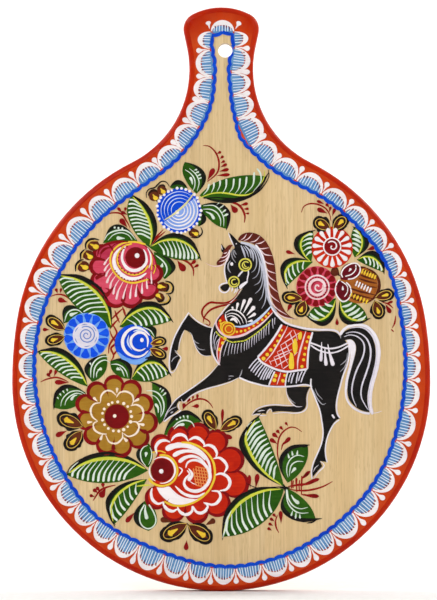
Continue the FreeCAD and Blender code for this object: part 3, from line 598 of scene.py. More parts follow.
def beside(base, tip, f, side):
    """Point the fraction f of the way from base to tip, moved 'side' to the left."""
    run_u, run_v = tip[0] - base[0], tip[1] - base[1]
    length = math.hypot(run_u, run_v)
    return (base[0] + f * run_u - side * run_v / length, base[1] + f * run_v + side * run_u / length)


def edge_point(base, tip, through, f, inset=0.0):
    """Point of a leaf's edge that passes 'through', at the fraction f of the leaf's length."""
    run_u, run_v = tip[0] - base[0], tip[1] - base[1]
    rel_u, rel_v = through[0] - base[0], through[1] - base[1]
    square = run_u * run_u + run_v * run_v
    peak = min(0.72, max(0.28, (rel_u * run_u + rel_v * run_v) / square))
    bulge = (rel_v * run_u - rel_u * run_v) / math.sqrt(square)
    bulge -= math.copysign(inset, bulge)
    reach = (peak - f) / peak if f < peak else (f - peak) / (1.0 - peak)
    return beside(base, tip, f, bulge * (1.0 - reach ** 2.2))


def veined(leaf, count, veins, ribs, shape):
    """Midrib near the shadow side and veins sweeping from it towards the tip."""
    base, outer, tip, inner = leaf
    first = FIRST_VEIN.get(base, 0.1)
    rib = [edge_point(base, tip, outer, f, LEAF_SHADOW + 1.3)
           for f in (0.03, 0.2, 0.4, 0.6, 0.8, 0.97)]
    ribs.stroke(rib, 0.62 + 0.026 * math.dist(base, tip), "arc", 0.8, (0.9, 0.8))
    for k in range(count):
        f = first + (LAST_VEIN - first) * (k + 0.5) / count
        a = edge_point(base, tip, outer, f, LEAF_SHADOW + 1.6)
        g = min(0.985, f + VEIN_LEAN * (1.0 - 0.35 * f))
        b = Vector(edge_point(base, tip, inner, g, 0.7))
        if (b - Vector(a)).length < SHORTEST_VEIN:
            continue
        run = Vector(tip) - Vector(base)
        middle = Vector(a).lerp(b, 0.55) + run * 0.035
        width = VEIN_WIDTH[shape] * dice.uniform(0.9, 1.12)
        veins.stroke([a, tuple(middle), tuple(b)], width, shape, 0.7, (0.78, 1.0))


# each leaf: its base, the widest point of its shadow side, its tip and the widest point of the other
# side; how far the dark tail runs past the tip; then how many veins it has and their shape
LEAVES = {
    "upper_left": [
        ("-12,-80 11,-83 24.8,-69.5", 3.0, 0),
        ("-12,-85.5 2.6,-86 3,-98.2 -5,-94.5", 1.0, 0),
        ("-39.5,-108.5 -35.8,-93.5 -49.5,-79.8 -51,-93", 1.2, 10, "line"),
        ("-39.5,-108.5 -23,-100.8 -11.5,-114.6 -26,-114.8", 1.5, 9, "drop"),
        ("-60.5,-153 -66.3,-130.5 -90,-123.8 -80.2,-140.8", 1.8, 10, "line"),
        ("-56,-152.3 -41,-138.1 -27.2,-148.6 -40,-152", 1.6, 7, "drop"),
    ],
    "left": [
        ("-73.5,-185 -84,-166.2 -101,-166 -89,-177.4", 1.6, 9, "line"),
        ("-61,-171 -51.8,-170.6 -50,-180.8", 1.0, 0),
        ("-49.3,-180.8 -39.5,-168.1 -28.4,-177.8 -39,-182.2", 2.0, 6, "line"),
        ("-74.5,-188.5 -87.6,-184.5 -92,-196.6", 1.2, 0),
        ("-34,-206 -27.6,-191.5 -38,-182.8", 1.4, 0),
        ("-31.6,-211.8 -22,-198.6 -11,-204", 1.2, 0),
    ],
    "lower_left": [
        ("-40.3,-231.2 -64,-220.8 -85,-233.6 -62,-238", 1.6, 11, "drop"),
        ("-40.8,-236 -61.8,-244.5 -59,-260.8 -51,-252.2", 1.6, 6, "drop"),
    ],
    "bottom": [
        ("34.5,-240 10.4,-218 20.5,-201.4 29.2,-222", 3.4, 11, "arc"),
        ("36.5,-238 32.6,-223 47.5,-217.2", 1.4, 0),
        ("34.5,-241.4 9,-245.3 0.8,-267.6 23,-259.8", 2.0, 9, "drop"),
        ("36,-241 34,-254.5 52,-258", 3.6, 0),
    ],
    "right": [
        ("49.5,-116.6 39.9,-106 50.5,-99.4 50.6,-108", 1.6, 5, "drop"),
        ("50.5,-116.4 34.3,-116.3 36,-130 43.8,-122.7", 1.6, 5, "line"),
        ("73.5,-114 81.4,-105.5 73,-97.4 71.2,-106", 1.0, 5, "arc"),
        ("74.5,-115.3 84.6,-110.6 89.5,-122.2 81,-118.8", 1.2, 5, "line"),
        ("63,-136.4 58.6,-150.8 47.4,-146.5 52,-140.8", 1.6, 4, "arc"),
        ("65.3,-136.8 67.3,-149.8 80.6,-148 75.6,-140.2", 1.8, 5, "arc"),
    ],
}
# white marks of the small leaves
MARKS = {
    "upper_left": """
        1.5 comet -17.2,-69.8 -16.2,-71.6 -15.8,-74 0.7 arc -20,-65.6 -16.6,-68 -14.6,-71.4 -14.6,-75
        -15.8,-77.6 0.6 arc -17.6,-65 -14,-68.2 -12.2,-72.6 -13.2,-77.4 1.1 drop -15,-66 -13.2,-65.6 /
        -14.4,-67.6 -12.2,-66.8 / -13.6,-69.4 -11.2,-68.2 1 drop -13,-71 -10.8,-70 0.75 arc -10,-87.4
        -5.6,-87.6 -2.2,-89.6 -0.4,-93.2 -0.4,-97 0.7 arc -10,-85.6 -4.4,-85.4 -0.8,-88 1.2,-92 1.4,-97
        1.7 drop -8.6,-88.8 -5.6,-90.2 -3.8,-93 0.9 drop -2.6,-85 -1,-83.9 1.1 drop -1.2,-87.2
        1.4,-85.2 1.2 drop 0.2,-89.6 2.8,-87.6 1.6 drop 1,-91.4 4,-90 0.9 arc -36,-112.8 -32.4,-115.6
        -30.2,-118.8 -30,-121.8 -31.6,-124.8 2 drop -32.2,-117 -32.8,-119.4 0.9 arc -64.4,-104.6
        -62.4,-101.4 -58.4,-99.4 -53.4,-99 -49.8,-100.8 -47,-104.2 0.6 arc -62.4,-104.6 -59,-101.4
        -55,-100.4 -51,-101.8 -48.8,-104.6 1.9 drop -53,-103.5 -57.6,-103.3 1.1 line -58.5,-98.1
        -58.7,-97 / -56.4,-98.4 -56.6,-97.2 / -54.3,-98.6 -54.5,-97.5 0.8 arc -76.2,-144.8 -79,-142.9
        -82.2,-143 -84.8,-145 -86.2,-149.4 2 drop -78.8,-144.2 -83.4,-145.8 0.6 arc -43,-152.4
        -39,-154.2 -36.8,-157.6""",
    "left": """
        0.75 arc -71.8,-180 -71.5,-174.6 -69.2,-170.6 -65.6,-168.6 -61.8,-168.6 / -70.3,-180.4
        -69.6,-175 -67.2,-171.7 -63.8,-170.4 -61,-172 0.6 arc -68.6,-180 -68.4,-177.4 -67,-175.6 1.9
        drop -68.2,-176 -65.6,-175.1 1.3 drop -71.6,-173.4 -72.2,-171.8 0.7 arc -60.6,-172.8
        -57.2,-172.8 -54,-174.4 -52.2,-177 -51.3,-180 0.6 arc -56,-174.2 -54.4,-176.4 -53.2,-179.6 2
        drop -55.2,-176 -57.6,-175 0.7 arc -75,-189 -78.4,-187.4 -82.6,-187.8 -86,-190.2 -87.8,-193
        -88.3,-196 / -76.4,-189.2 -80,-188.8 -83.6,-190.6 -85.4,-193 -86,-195.4 1.6 drop -79,-189.6
        -81.2,-190.4 -82.6,-192.6 1.1 drop -84.4,-187.8 -85,-186.2 / -86.2,-188.8 -87.2,-187.2 /
        -88,-190.2 -88.8,-188.8 / -89.4,-192 -90.2,-190.8 0.85 arc -41.4,-187.4 -38,-187.3 -34.8,-188.6
        -32.4,-191.6 -31.5,-195.4 -32,-199 -33.4,-201.8 0.65 arc -39.4,-189.4 -36.2,-190.6 -33.8,-193.8
        -33,-197.6 -33.4,-201 1.7 drop -34.6,-199.6 -34.8,-196.6 -36.4,-194.4 1 drop -34,-187
        -33,-185.4 1.1 drop -33.2,-188.4 -31.4,-186.4 1.2 drop -32.4,-190.2 -30.2,-188.2""",
    "lower_left": """
        0.85 arc -26.6,-207.4 -24,-205 -20.6,-203.6 -17.6,-204 -15.8,-205.2 -14.8,-207.4 1.6 drop
        -26,-208.4 -23.4,-206.2 -20.2,-205.8 1 line -24.4,-203.4 -24.5,-202.6 1.1 drop -22.4,-202.8
        -22.6,-201.6 0.9 drop -20.2,-202.6 -20.9,-200.8 1 drop -18.3,-203 -18.6,-200.8 0.7 arc
        -41.4,-228.8 -43.8,-225.4 -44.4,-221.4 -42.8,-218.4 -40.4,-217.4 0.6 arc -39.2,-218.4
        -38.2,-221.6 -38.8,-225.4 -40,-228 2 drop -41.6,-223.8 -41.2,-221 0.75 line -42.2,-249.8
        -44.4,-254 -44.8,-258.6 -43.2,-261.8 -40.2,-263.2 -37.2,-261.8 -35.9,-258.6 -37.2,-254.2
        -39.8,-249.8 2 drop -41.6,-250 -41.8,-253.6 -40.8,-258 0.8 arc -60,-248.4 -61,-252 -60,-256
        -57,-259.4 0.9 lens -84.6,-233.4 -82,-229.6 -78.6,-226.8 -74.6,-225""",
    "bottom": """
        0.7 arc 45.6,-223.5 42,-222.8 38.4,-224.6 36.4,-228 36,-231.6 36.8,-235 / 45.2,-226.3
        41.6,-226.2 38.8,-228 37.7,-231 37.5,-234.4 2 drop 38.4,-232.6 41,-229.6 1.2 comet 37.3,-224.5
        36.7,-221.8 / 39.3,-223 38.9,-220.4 1.3 comet 41.7,-222.6 42,-220 1 comet 36,-241.6 36.8,-246.4
        39.4,-250.4 43.4,-252.2 47.6,-251.4 0.8 arc 35.6,-242.6 36.6,-248.6 39.6,-252.8 43.6,-254.6
        48,-254.4 2.2 drop 38.4,-244.4 40.2,-247.2 42.8,-249.4 1.1 drop 39.3,-253.2 38.4,-256.2 1.3
        drop 41.2,-253.6 40.8,-257.8 1.2 drop 43.2,-255 43.3,-257.6 1 lens 18,-203.2 14.6,-207 13,-212
        1.5 lens 5.6,-253 3.4,-258 2.2,-263.4 0.6,-268.6""",
    "right": """
        0.8 lens 36.2,-129.2 34.6,-127 34.2,-123.6 / 48,-146 50.4,-148 54.6,-148.6 0.7 lens 79.8,-145.8
        77.6,-148.4 74,-149""",
}
LONG_LEAF_VEINS = """
    1.05 -10,-79.6 -7.6,-76.8 -6.6,-73.4 / -5.6,-78.6 -4.2,-75.6 -4,-72.6 / -2.4,-78 -0.8,-74.6
    -0.6,-71.4 / 0.6,-79 2.6,-75.2 2.8,-70.8 / 4,-79 6.4,-75.4 7,-70.6 / 7.4,-79.2 9.8,-75.6
    10.4,-70.4 / 10,-79.4 13.2,-75 14,-69.6 / 13,-79 17.4,-74 18.2,-67 / 17.4,-78 21.6,-72.6
    21.6,-68 19.6,-65"""
LONG_LEAF_MIDRIB = """
    0.95 -12.4,-81.4 -10,-80.5 -5,-78.8 0,-78.4 5,-79 10,-79.8 15,-79.5 18,-78 21,-75 23.5,-70
    24,-66 0.9 -38.6,-239.2 -43,-239.4 -47,-239.9"""
for group, leaves in LEAVES.items():
    veins = Strokes("leaf_veins_" + group, MINT_WHITE, 0.05)
    ribs = Strokes("leaf_midribs_" + group, LIME, 0.02)
    for outline, _, count, *shape in leaves:
        if count:
            veined(spots(outline), count, veins, ribs, *shape)
    veins.draw(MARKS[group], step=0.6)
    if group == "upper_left":
        veins.draw(LONG_LEAF_VEINS, "drop", 0.7, (0.9, 0.8))
        ribs.draw(LONG_LEAF_MIDRIB)
    finish_all(veins, ribs)

# ---- black brush lines beside leaves and buds ----
edges = Strokes("black_edge_strokes", BLACK, 0.03)
for outline, past, *_ in [leaf for leaves in LEAVES.values() for leaf in leaves]:
    base, outer, tip = spots(outline)[:3]
    rim = [edge_point(base, tip, outer, f, 0.8) for f in (0.28, 0.5, 0.75, 0.93)]
    end = Vector(tip) + (Vector(tip) - Vector(rim[-1])).normalized() * past
    edges.stroke(rim + [tip, tuple(end)], 2.1, "lens", 0.7, (1.0, 0.9))
edges.draw("""
    0.9 -10,-81.6 -4,-81 4,-81.6 11,-81.8 16,-80.4 20.6,-77.6 24.2,-73.4 26.2,-69.4 25.9,-65.6 0.8
    -41,-81.4 -41.2,-78.6 -39.6,-76.4 -36.6,-75.6 -35,-74 -32.8,-72.2 -30.2,-72.6 -28.4,-75 1.1
    -74.4,-109.8 -74.6,-106.6 -72.8,-104.4 -70,-103.7 -67,-104.4 / -77.3,-115.2 -77.2,-111.8 -75,-109.4
    / -80.1,-121.8 -80,-118.4 -78.2,-116 -75.6,-115 / -31,-126.9 -27.6,-128 -26.3,-130.8 -27.4,-133.6
    -30.6,-134 / -29.2,-134.4 -27.9,-136.6 -29.2,-139 -32.4,-140 -36,-139.6 0.8 -11.4,-97 -10.4,-100
    -11.8,-102.4 -14.4,-103.2 -17,-102.8 0.5 -57,-258.4 -59.8,-259.6 -58,-261 0.6 -85.4,-233.2
    -83,-229.4 -79,-226 -75,-223.8 0.8 52.6,-258.2 50,-259.6 47,-260.2 1.4 47.6,-217.6 44,-218.2 0.7
    -36,-158 -33.6,-157.6 -31.6,-158.8 -30.8,-161.4 / -30.8,-167.2 -31.6,-169.4 -34.4,-170 0.6
    13.6,-238.2 18,-240.2 22,-240.8 34,-240 1.3 31.6,-240.2 34.6,-240.6 38,-240.8 1.1 34.2,-238.6
    35,-240.6 35.2,-243""", "arc", 0.8)
edges.finish()

# ---- buds: brown heart, yellow drop and a thin ochre line inside the dark drop ----
BUDS = """
    6.8 -86,-153.8 -96,-147.2 6.4 -86,-157.6 -96.4,-160.4 5 -39,-161.6 -30.6,-159.6 5.4 -39.4,-164
    -30.6,-168.8 8.6 -76,-207 -90,-201.4 8.4 -76.5,-209.4 -85,-219.4 7.2 -3,-209 -8.8,-198.4 7
    -0.6,-209.2 10.8,-202.6 9 -18.6,-260.4 -33,-268.4 9 -18.2,-261 -5.4,-269.8 7.4 60,-98.4
    51.2,-93.4 7.4 61.6,-98.8 68.8,-91.4 6.8 44.6,-136.6 33.6,-135.8 7.4 46,-137.8 42.6,-146.2 6.6
    84.6,-136.2 94.6,-133.6 7.2 84.4,-137.8 87.6,-147.4"""
# lines round a bud: share of its length, and of its half width to the left
CRESCENT = spots("0.42,0.9 0.66,1.02 0.86,0.8 0.99,0 0.9,-0.78 0.7,-1 0.5,-0.94")
HALF_LOOP = spots("0.02,0.1 0.24,0.8 0.5,1.15 0.72,1.02 0.85,0.6")
LOOP = HALF_LOOP + [(0.9, 0.0)] + [(f, -side) for f, side in reversed(HALF_LOOP)]
bodies = Strokes("bud_bodies", BLACK, 0.01)
rims = Strokes("bud_rims", BLACK, 0.04)
hearts = Strokes("bud_hearts", BROWN, 0.08)
lines = Strokes("bud_lines", GOLD, 0.12)
kernels = Strokes("bud_kernels", YELLOW, 0.14)
for (base, tip), width, _ in read_strokes(BUDS):
    for piece, stops, share, shape, step in (
            (bodies, (-0.02, 0.3, 0.6, 1.0), 1.12, "lens", 0.6),
            (hearts, (0.04, 0.45, 0.86), 0.78, "lens", 0.6),
            (kernels, (0.3, 0.5, 0.74), 0.46, "drop", 0.5)):
        piece.stroke([beside(base, tip, f, 0.0) for f in stops], share * width, shape, step)
    crescent = [beside(base, tip, f, 0.45 * width * side) for f, side in CRESCENT]
    rims.stroke(crescent, 1.2, "lens", 0.6, (1.0, 0.9))
    loop = [beside(base, tip, f, 0.31 * width * side) for f, side in LOOP]
    lines.stroke(loop, 0.42, "line", 0.6)
ROUND_BUDS = """
    3.3 -69.2,-108 -72.4,-106.4 3 -72.2,-113.6 -74.4,-111.4 3.4 -75,-119.4 -77.8,-118 2.9
    -36.3,-81.2 -37.8,-79 2.7 -32,-77.8 -33.6,-75.8 2.6 -14,-101 -16.4,-100 2.9 -33.4,-130
    -30.4,-130.4 2.5 -34.6,-135 -32.8,-136.8"""
for (near, far), r, _ in read_strokes(ROUND_BUDS):
    middle = Vector(near).lerp(Vector(far), 0.35)
    hearts.dot(middle.x, middle.y, r, 0.9)
    kernels.dot(near[0], near[1], 0.58 * r, 0.85)
    kernels.stroke([near, far], 0.72 * r, "comet", 0.5)
lines.draw("""
    0.8 -73.6,-109.6 -73.6,-106.8 -71.4,-104.9 -67.6,-105 / -76.4,-115 -76.2,-112 -74.2,-110 /
    -79.2,-121.4 -79,-118.4 -76.4,-116.2 0.7 -31.4,-127.8 -28.4,-128.6 -27.2,-130.9 -28.8,-133
    -31.6,-133 / -30.4,-134.6 -28.9,-136.4 -30,-138.4 -34,-139""")
finish_all(bodies, rims, hearts, lines, kernels)

# ---- twigs ----
twigs = Strokes("twig_stems", TWIG, 0.04, WOOD_TOP)
for points, width, _ in read_strokes("""
    0.6 -7.8,-72.4 -4.4,-69.8 -2,-67 -1.2,-63.6 -1.6,-59.6 -3.4,-55.8 -6.4,-53 -10,-52.4 0.9 1.4,-83.8
    5.6,-83.6 9.4,-85 11.8,-87.8 13,-91.4 12.7,-95 0.7 -26,-115 -21,-115.4 -17.4,-117.4 -15.4,-120.4
    -15.2,-124.4 0.6 -40,-107 -36,-103 -31.8,-98.6 / -38.6,-107 -34.6,-103 -30.6,-99.6 / -64,-91
    -60,-89.5 -55,-90 -52,-94 -50,-98 0.55 -94,-135.5 -90,-134.3 -86,-135 -82,-138 -79.5,-140.6 /
    -99.5,-182.6 -96,-181 -91,-180 -87,-181 -84,-182.6 0.8 -58,-239.2 -63,-240.4 -67,-242.6 -70.6,-248
    0.6 -21.4,-197.8 -18,-194.2 -13,-191.9 -9,-192.3 -6,-194.5 -4.5,-197 0.55 32.2,-228 31,-222
    31.4,-215 33.4,-210.6 37.4,-207.6 41.2,-207.8 44.5,-210 0.5 33,-220 34,-216.5 37,-214 0.9 36.6,-240
    42,-239.2 48,-238.4 53.4,-236.6 0.75 36.8,-241.2 42,-242.2 48,-242 55,-240.4 61.4,-237.2 0.7
    44,-244.4 48,-244.8 1.1 44,-235.6 47,-233.6 49,-231.4 0.55 31,-255.6 29.9,-259 30.2,-262.4
    31.8,-265.6 0.5 44,-89.4 45.4,-86 49,-84.4 53.4,-84.9 57.4,-87 59.6,-90.4 60.4,-94 / 88.6,-138.6
    92,-139.6 94.6,-142 / 96,-146 95.4,-150 94,-153 0.4 93.4,-153.4 95,-155 0.7 -60.6,-148.2
    -57.6,-145.2 -54,-142 / -58.6,-143 -57.4,-146.6 -55.8,-150 0.8 -54.4,-141 -53.4,-143.6 -52.5,-146.8
    0.7 -61.4,-153.6 -59,-150.4 -56,-147.4 0.75 -60.4,-150 -58.4,-153 -57.4,-156 -59.6,-159
    -61.6,-162.6 -62,-167 / -61.4,-154 -60,-157.5 -58,-161 -60.6,-164 -59.2,-168 -60.8,-171.4 0.6
    -60.8,-164 -58.6,-162 / -59.4,-168 -57.4,-165"""):
    twigs.stroke(points, 0.35 + 1.1 * width, "arc", 0.8, (1.0, 0.85))
for u, low, high in spots("""
        38.8,-241.2,-236 39.6,-241,-236.6 41.2,-238.6,-235.2 41.6,-243,-235.4
        43,-242.6,-236.4 44.2,-244.4,-234 44.6,-240,-234.6"""):
    twigs.stroke([(u, low), (u - 0.2, (low + high) / 2), (u + 0.1, high)], 0.7, "line")
twigs.finish()
dabs = Strokes("brown_dabs", BROWN, 0.01)
dabs.draw("3.4 -27,-259.4 -33.4,-258 3.6 -8.4,-261 -3.4,-258.4", "drop")
dabs.dot(62.5, -122, 2.3)
dabs.finish()

# ---- flowers ----
white = Strokes("flower_white_strokes", WHITE, 0.08)
pale = Strokes("flower_pink_white_strokes", PALE_PINK, 0.06)
gold_rings = Strokes("flower_yellow_rings", YELLOW, 0.05)
reds = Strokes("flower_red_lines", SHADE_RED, 0.04)
red_dots = Strokes("flower_red_dots", SHADE_RED, 0.2)

# pink flower
gold_rings.draw("""
    0.95 -49,-106.4 -53.4,-107.8 -56.4,-111.4 -57.2,-115.6 -55.4,-119.8 -51.4,-122.8 -47,-123.6
    -42.6,-121.6 -40,-118.4 1 -41.6,-106.8 -47,-105.5 -53.4,-106 -58,-108.6 -60.8,-113 -60.6,-118.4
    -58.2,-123 -54,-126.6 -48.6,-128 -43.4,-127 -40,-126 0.6 -38.6,-112 -38,-116 -38.4,-121 0.7
    -36.4,-118 -36.2,-120.4 -37.4,-123""", "line")
white.draw("""
    1.9 -52.6,-107.6 -54.2,-111.4 -54.4,-115.6 -52,-119.6 -48,-121.2 -44,-120 -41.2,-116.6 -41.4,-112.4
    -42.8,-109.4 2.3 -55,-108.4 -58,-111.8 -59,-116 -57.6,-120.4 -54.2,-124 -49.6,-125.8 -44.8,-125
    -41,-122.6 0.9 -40.6,-108.6 -38.9,-112.4 -38.7,-116.4 -39.8,-120""", "arc", 0.7, (1.0, 0.95))
pale.draw("""
    1.25 -61.4,-113.6 -63,-115.6 -64.6,-118.2 / -60.8,-116.6 -63,-119 -64.4,-121.6 / -60.4,-119.4
    -62.4,-121.8 -63.6,-124.6 / -59.4,-121.8 -61.8,-125 -63,-128.2 / -58,-124 -60.4,-127.6 -61.2,-131.2
    / -56,-126 -58.4,-130 -59.4,-134.4 / -53.8,-127 -56.4,-132 -57.8,-137.2 / -51.4,-128.2 -53,-132.4
    -54,-137 / -49,-128.6 -49.8,-132.4 -50.2,-136.8 / -46.2,-128.4 -46.8,-131.8 -47.1,-135.8 /
    -43.4,-127.6 -43.6,-130.6 -43.5,-134 / -40.9,-125 -41,-128 -40.7,-131.4 / -38.6,-121.4 -38.5,-125
    -38.2,-128.6""", "drop", 0.7, (1.0, 0.95))
for count, row in (
        (15, "-51,-107.6 -55.2,-110.6 -56.6,-115.4 -54.6,-120.2 -50.4,-122.8 -45.6,-122.6 "
             "-41.4,-119.6"),
        (11, "-58.8,-120.6 -55.6,-124.4 -50.6,-126.8 -45.6,-126.4 -42,-124.8")):
    line = steps_along(spots(row), 0.4)
    for k in range(count):
        red_dots.dot(*line[int((k + 0.5) / count * (len(line) - 1))], 0.42)
reds.draw("""
    0.75 -68.6,-126.6 -67.4,-123.2 -64.6,-122.8 / -70,-122.4 -68,-123.4 -65,-122.8 / -69.8,-115.8
    -67.2,-114.8 -63.6,-115 / -66.4,-115 -66,-112 -63,-109.2 -59.6,-108.6 / -60.6,-109 -58.6,-106.8
    -55,-105.8 / -62.6,-134.4 -61.8,-131.8 -63.8,-131 / -53.6,-138.4 -53.2,-135.6 / -45,-136.6
    -45,-133.4 / -41.4,-129 -38,-128.6 -36,-130 / -38.4,-118 -36.4,-119.2 -36,-122""", "arc")
white.dot(-46.3, -113, 1.35)

# blue rose: light half, rings, bar and bead rim
ROSE = (-23.3, -88.2)
RINGS = (-22.9, -88.0)
rose_paint = paint("rose_light_blue", (138, 168, 232), (110, 150, 226))
pale_blue = Strokes("rose_light_half", rose_paint, 0.02)
pale_blue.fill(circle(*ROSE, 10.8, -142, 38, 20))
pale_blue.finish()
sky = Strokes("blue_flower_rings", SKY_WHITE, 0.07)
for r, start, end, width in ((4.6, 45, 215, 0.5), (6.6, 42, 218, 0.5), (8.4, 45, 210, 0.6),
                             (10.2, 40, 222, 0.5)):
    sky.stroke(circle(*RINGS, r, start, end), width, "lens")
for r, start, end, width in ((3.1, -150, 42, 0.7), (4.9, -150, 42, 0.8), (6.6, -145, 40, 0.9),
                             (8.4, -142, 40, 1.0), (10.3, -140, 40, 0.8)):
    white.stroke(circle(*ROSE, r, start, end), width, "arc")
white.draw("2 -25.2,-89.4 -23.2,-89", "line")
bar = Strokes("rose_cream_bar", CREAM, 0.11)
bar.draw("1.2 -31.2,-93.4 -27,-90.8 -23.4,-88 -20,-85 -17.6,-82.2 -15.2,-78.8", "arc")
bar.finish()
beads = Strokes("rose_rim_beads", WHITE, 0.05)
for k in range(30):
    angle = math.radians(12 * k + dice.uniform(-2, 2))
    r = 12.0 + dice.uniform(-0.35, 0.35)
    beads.dot(*polar(ROSE, r, angle), dice.uniform(0.6, 0.9))
beads.finish()

# blue daisy
DAISY = (-74, -157.1)
DISC = (-74.5, -156.9)
petal_paint = paint("daisy_petal_blue", (4, 74, 226), (24, 96, 236), (2, 58, 200))
petals = Strokes("daisy_blue_petals", petal_paint, 0.03)
petal_ring(petals, DAISY, 6.4, 12.4, 14, 0.35, 4.9)
petals.finish()
disc = Strokes("daisy_white_disc", LILAC_WHITE, 0.12)
disc.fill(circle(*DISC, 7.2, 0, 350, 22))
disc.finish()
spirals = Strokes("daisy_spiral", gouache("slate", (86, 118, 190), (130, 160, 222)), 0.18)
spirals.stroke(spiral((-74.1, -156.7), 0.6, 0.125, 36), 0.62, "line", 0.5)
for start in (20, 80, 130, 190, 260, 320):
    spirals.stroke(circle(*DISC, 6.1, start, start + 34, 5), 0.45, "lens", 0.5)
spirals.finish()

# blue flower
halo = Strokes("blue_flower_halo", paint("halo_light_blue", (104, 158, 236), (130, 176, 240)), 0.01)
halo.draw("3 -57,-166 -53.4,-169.6 -49,-171.4 -45,-171.2 -41,-168.8 -38.8,-165.4", "arc")
halo.finish()
sky.draw("0.8 -50,-153.4 -46,-152.2 -42.4,-153.4", "lens")
white.draw("""
    1.7 -39.2,-157 -42.8,-153.8 -47.4,-152.6 -51.6,-154.6 -54,-158.6 -54,-163 -51.4,-166.8 -47,-168.6
    -43,-167.8 -40,-165.2 / -40.6,-163.4 -40.4,-159 -42.4,-155.8 -46,-155.4 -49.2,-158 -49.6,-161.6
    -47.6,-164.4 -44.4,-165.2 -41.6,-164""", "arc")
sky.draw("1 -50.8,-156.6 -51.4,-161 -49,-165", "lens")
sky.draw("1 -48.6,-154.8 -45,-153.8 -42,-154.6", "lens")
white.dot(-43.6, -159.4, 1.0, 1.2)
sky.finish()

# ochre flower
warm_white = gouache("warm_white", (252, 238, 222), (222, 188, 150))
cream = Strokes("ochre_flower_strokes", warm_white, 0.06)
cream.draw("""
    1.15 -66.4,-193.6 -66,-190 -63.4,-187.4 -60.4,-187.6 -57.6,-190 / -57.7,-191 -55.8,-188.4
    -52.4,-187.7 -49,-189.6 -48.3,-193 -49.4,-195.6 / -50,-195.6 -46.6,-195 -43.6,-196.8 -42.8,-200.2
    -44,-203.6 -46.6,-204.8 / -49.6,-204.4 -46.6,-204.6 -45.2,-207.4 -47,-211 -51,-212.4 -54,-210.6 /
    -54.4,-210 -54.4,-213.4 -57.6,-216.2 -61.6,-215.4 -63.6,-211.6 / -62.8,-211.2 -66.6,-210.8
    -69.8,-208.6 -70.2,-205.4 -67.8,-204 / -68,-204 -71,-201.4 -71.8,-197.6 -69.8,-194.6 -66.2,-193.8
    """, "arc", 0.7)
cream.draw("""
    1.9 -57.4,-188.6 -57.2,-185.6 / -48.4,-193.6 -45.2,-191.6 / -46,-205.4 -42.2,-206.2 / -54,-212.8
    -51.6,-215.2 / -65,-211.2 -66.8,-214.4 / -70.8,-204.4 -73.8,-204.8 / -68,-193.2 -70.4,-191
    """, "drop", 0.5)
for k in range(17):
    angle = math.radians(360 / 17 * k + dice.uniform(-3, 3))
    cream.dot(*polar((-57.4, -201.5), 8.1, angle), dice.uniform(0.65, 1.0))
cream.dot(-58.6, -201.2, 1.0)
cream.finish()

# red rose
gold_rings.stroke(circle(-32.6, -231.2, 8.5, -150, 100, 16), 1.2, "line")
gold_rings.draw("""
    0.7 -38.4,-221.4 -34,-220.4 -30.4,-221.6 1.2 -22,-215.8 -17,-216.2 -12,-218.2 -7.6,-221.6 -4.6,-226
    -3.5,-231 -4,-236.4 -6.6,-241.8 -11,-246.2 -16.4,-249.2 -22,-250.6 -27,-250.2 -31.4,-248.2
    """, "line")
white.stroke(circle(-32.6, -231, 7.2, -100, 130, 16), 1.1, "arc", 0.7, (1.0, 0.95))
white.stroke(circle(-32.6, -231, 7.0, -200, -120, 8), 0.9, "arc", 0.7, (1.0, 0.95))
white.draw("""
    3.1 comet -30.6,-219.6 -26.4,-217.8 -21,-217.2 -15.4,-218.7 -10.6,-221.8 -7.2,-226 -5.6,-232 2.3
    comet -26.6,-223.2 -22,-220.9 -17,-220.5 -12.2,-222.2 -8.6,-225.6 2.1 comet -23.4,-226.6 -19.6,-224
    -15.4,-223.3 -11.4,-224.8 -8.2,-228 2 arc -19.6,-229.8 -18.4,-226.8 -15,-225.4 -10.8,-226.6
    -7.6,-229.8 -6.2,-233.6 -7.2,-238 -10.4,-241.4 -14.4,-242.6 -18.4,-241.4 -20.4,-238.6 -19.6,-235.6
    -17.4,-233.2 -18.8,-231 2.2 comet -18.2,-236.8 -16,-233.4 -18,-230 0.5 arc -17.6,-236.8
    -15.6,-238.2 -13.4,-239 1.6 arc -25.4,-239.6 -22,-243 -18,-245 -13,-245.4 -9,-243.4 1.2 arc
    -27.4,-241.4 -24,-244.8 -19.6,-246.8 -14,-247.2 0.9 arc -23.4,-229.2 -21.4,-231 -23.6,-234.4
    """, step=0.7, load=(1.0, 0.95))
sweep = Strokes("rose_white_sweep", WHITE, 0.03)
sweep.fill(spots("""
    -35.6,-240.4 -32,-240.6 -28.6,-240 -26.4,-242.2 -22.6,-245.4 -18,-247.2 -12.6,-246.6 -8.4,-243.8
    -8,-243.6 -11.4,-246.8 -16.6,-249 -22,-250 -27,-249.4 -31,-246.8 -34,-243.6"""))
sweep.finish()
net = Strokes("rose_net", gouache("net_orange", (236, 156, 82), (222, 110, 60)), 0.09)
for k in range(7):
    v = -229.4 - 1.7 * k
    left, right = -15.4 + 0.4 * abs(k - 3), -6.8 - 0.35 * abs(k - 3)
    net.stroke([(left, v + 0.4), (-11.4, v - 0.2), (right, v - 0.8)], 0.55, "line", 0.6)
for k in range(6):
    u = -14.6 + 1.45 * k
    half = 5.4 - 0.5 * abs(k - 2)
    net.stroke([(u - 0.8, -234.4 + half), (u, -234.6), (u + 0.8, -234.6 - half)], 0.55, "line", 0.6)
net.finish()
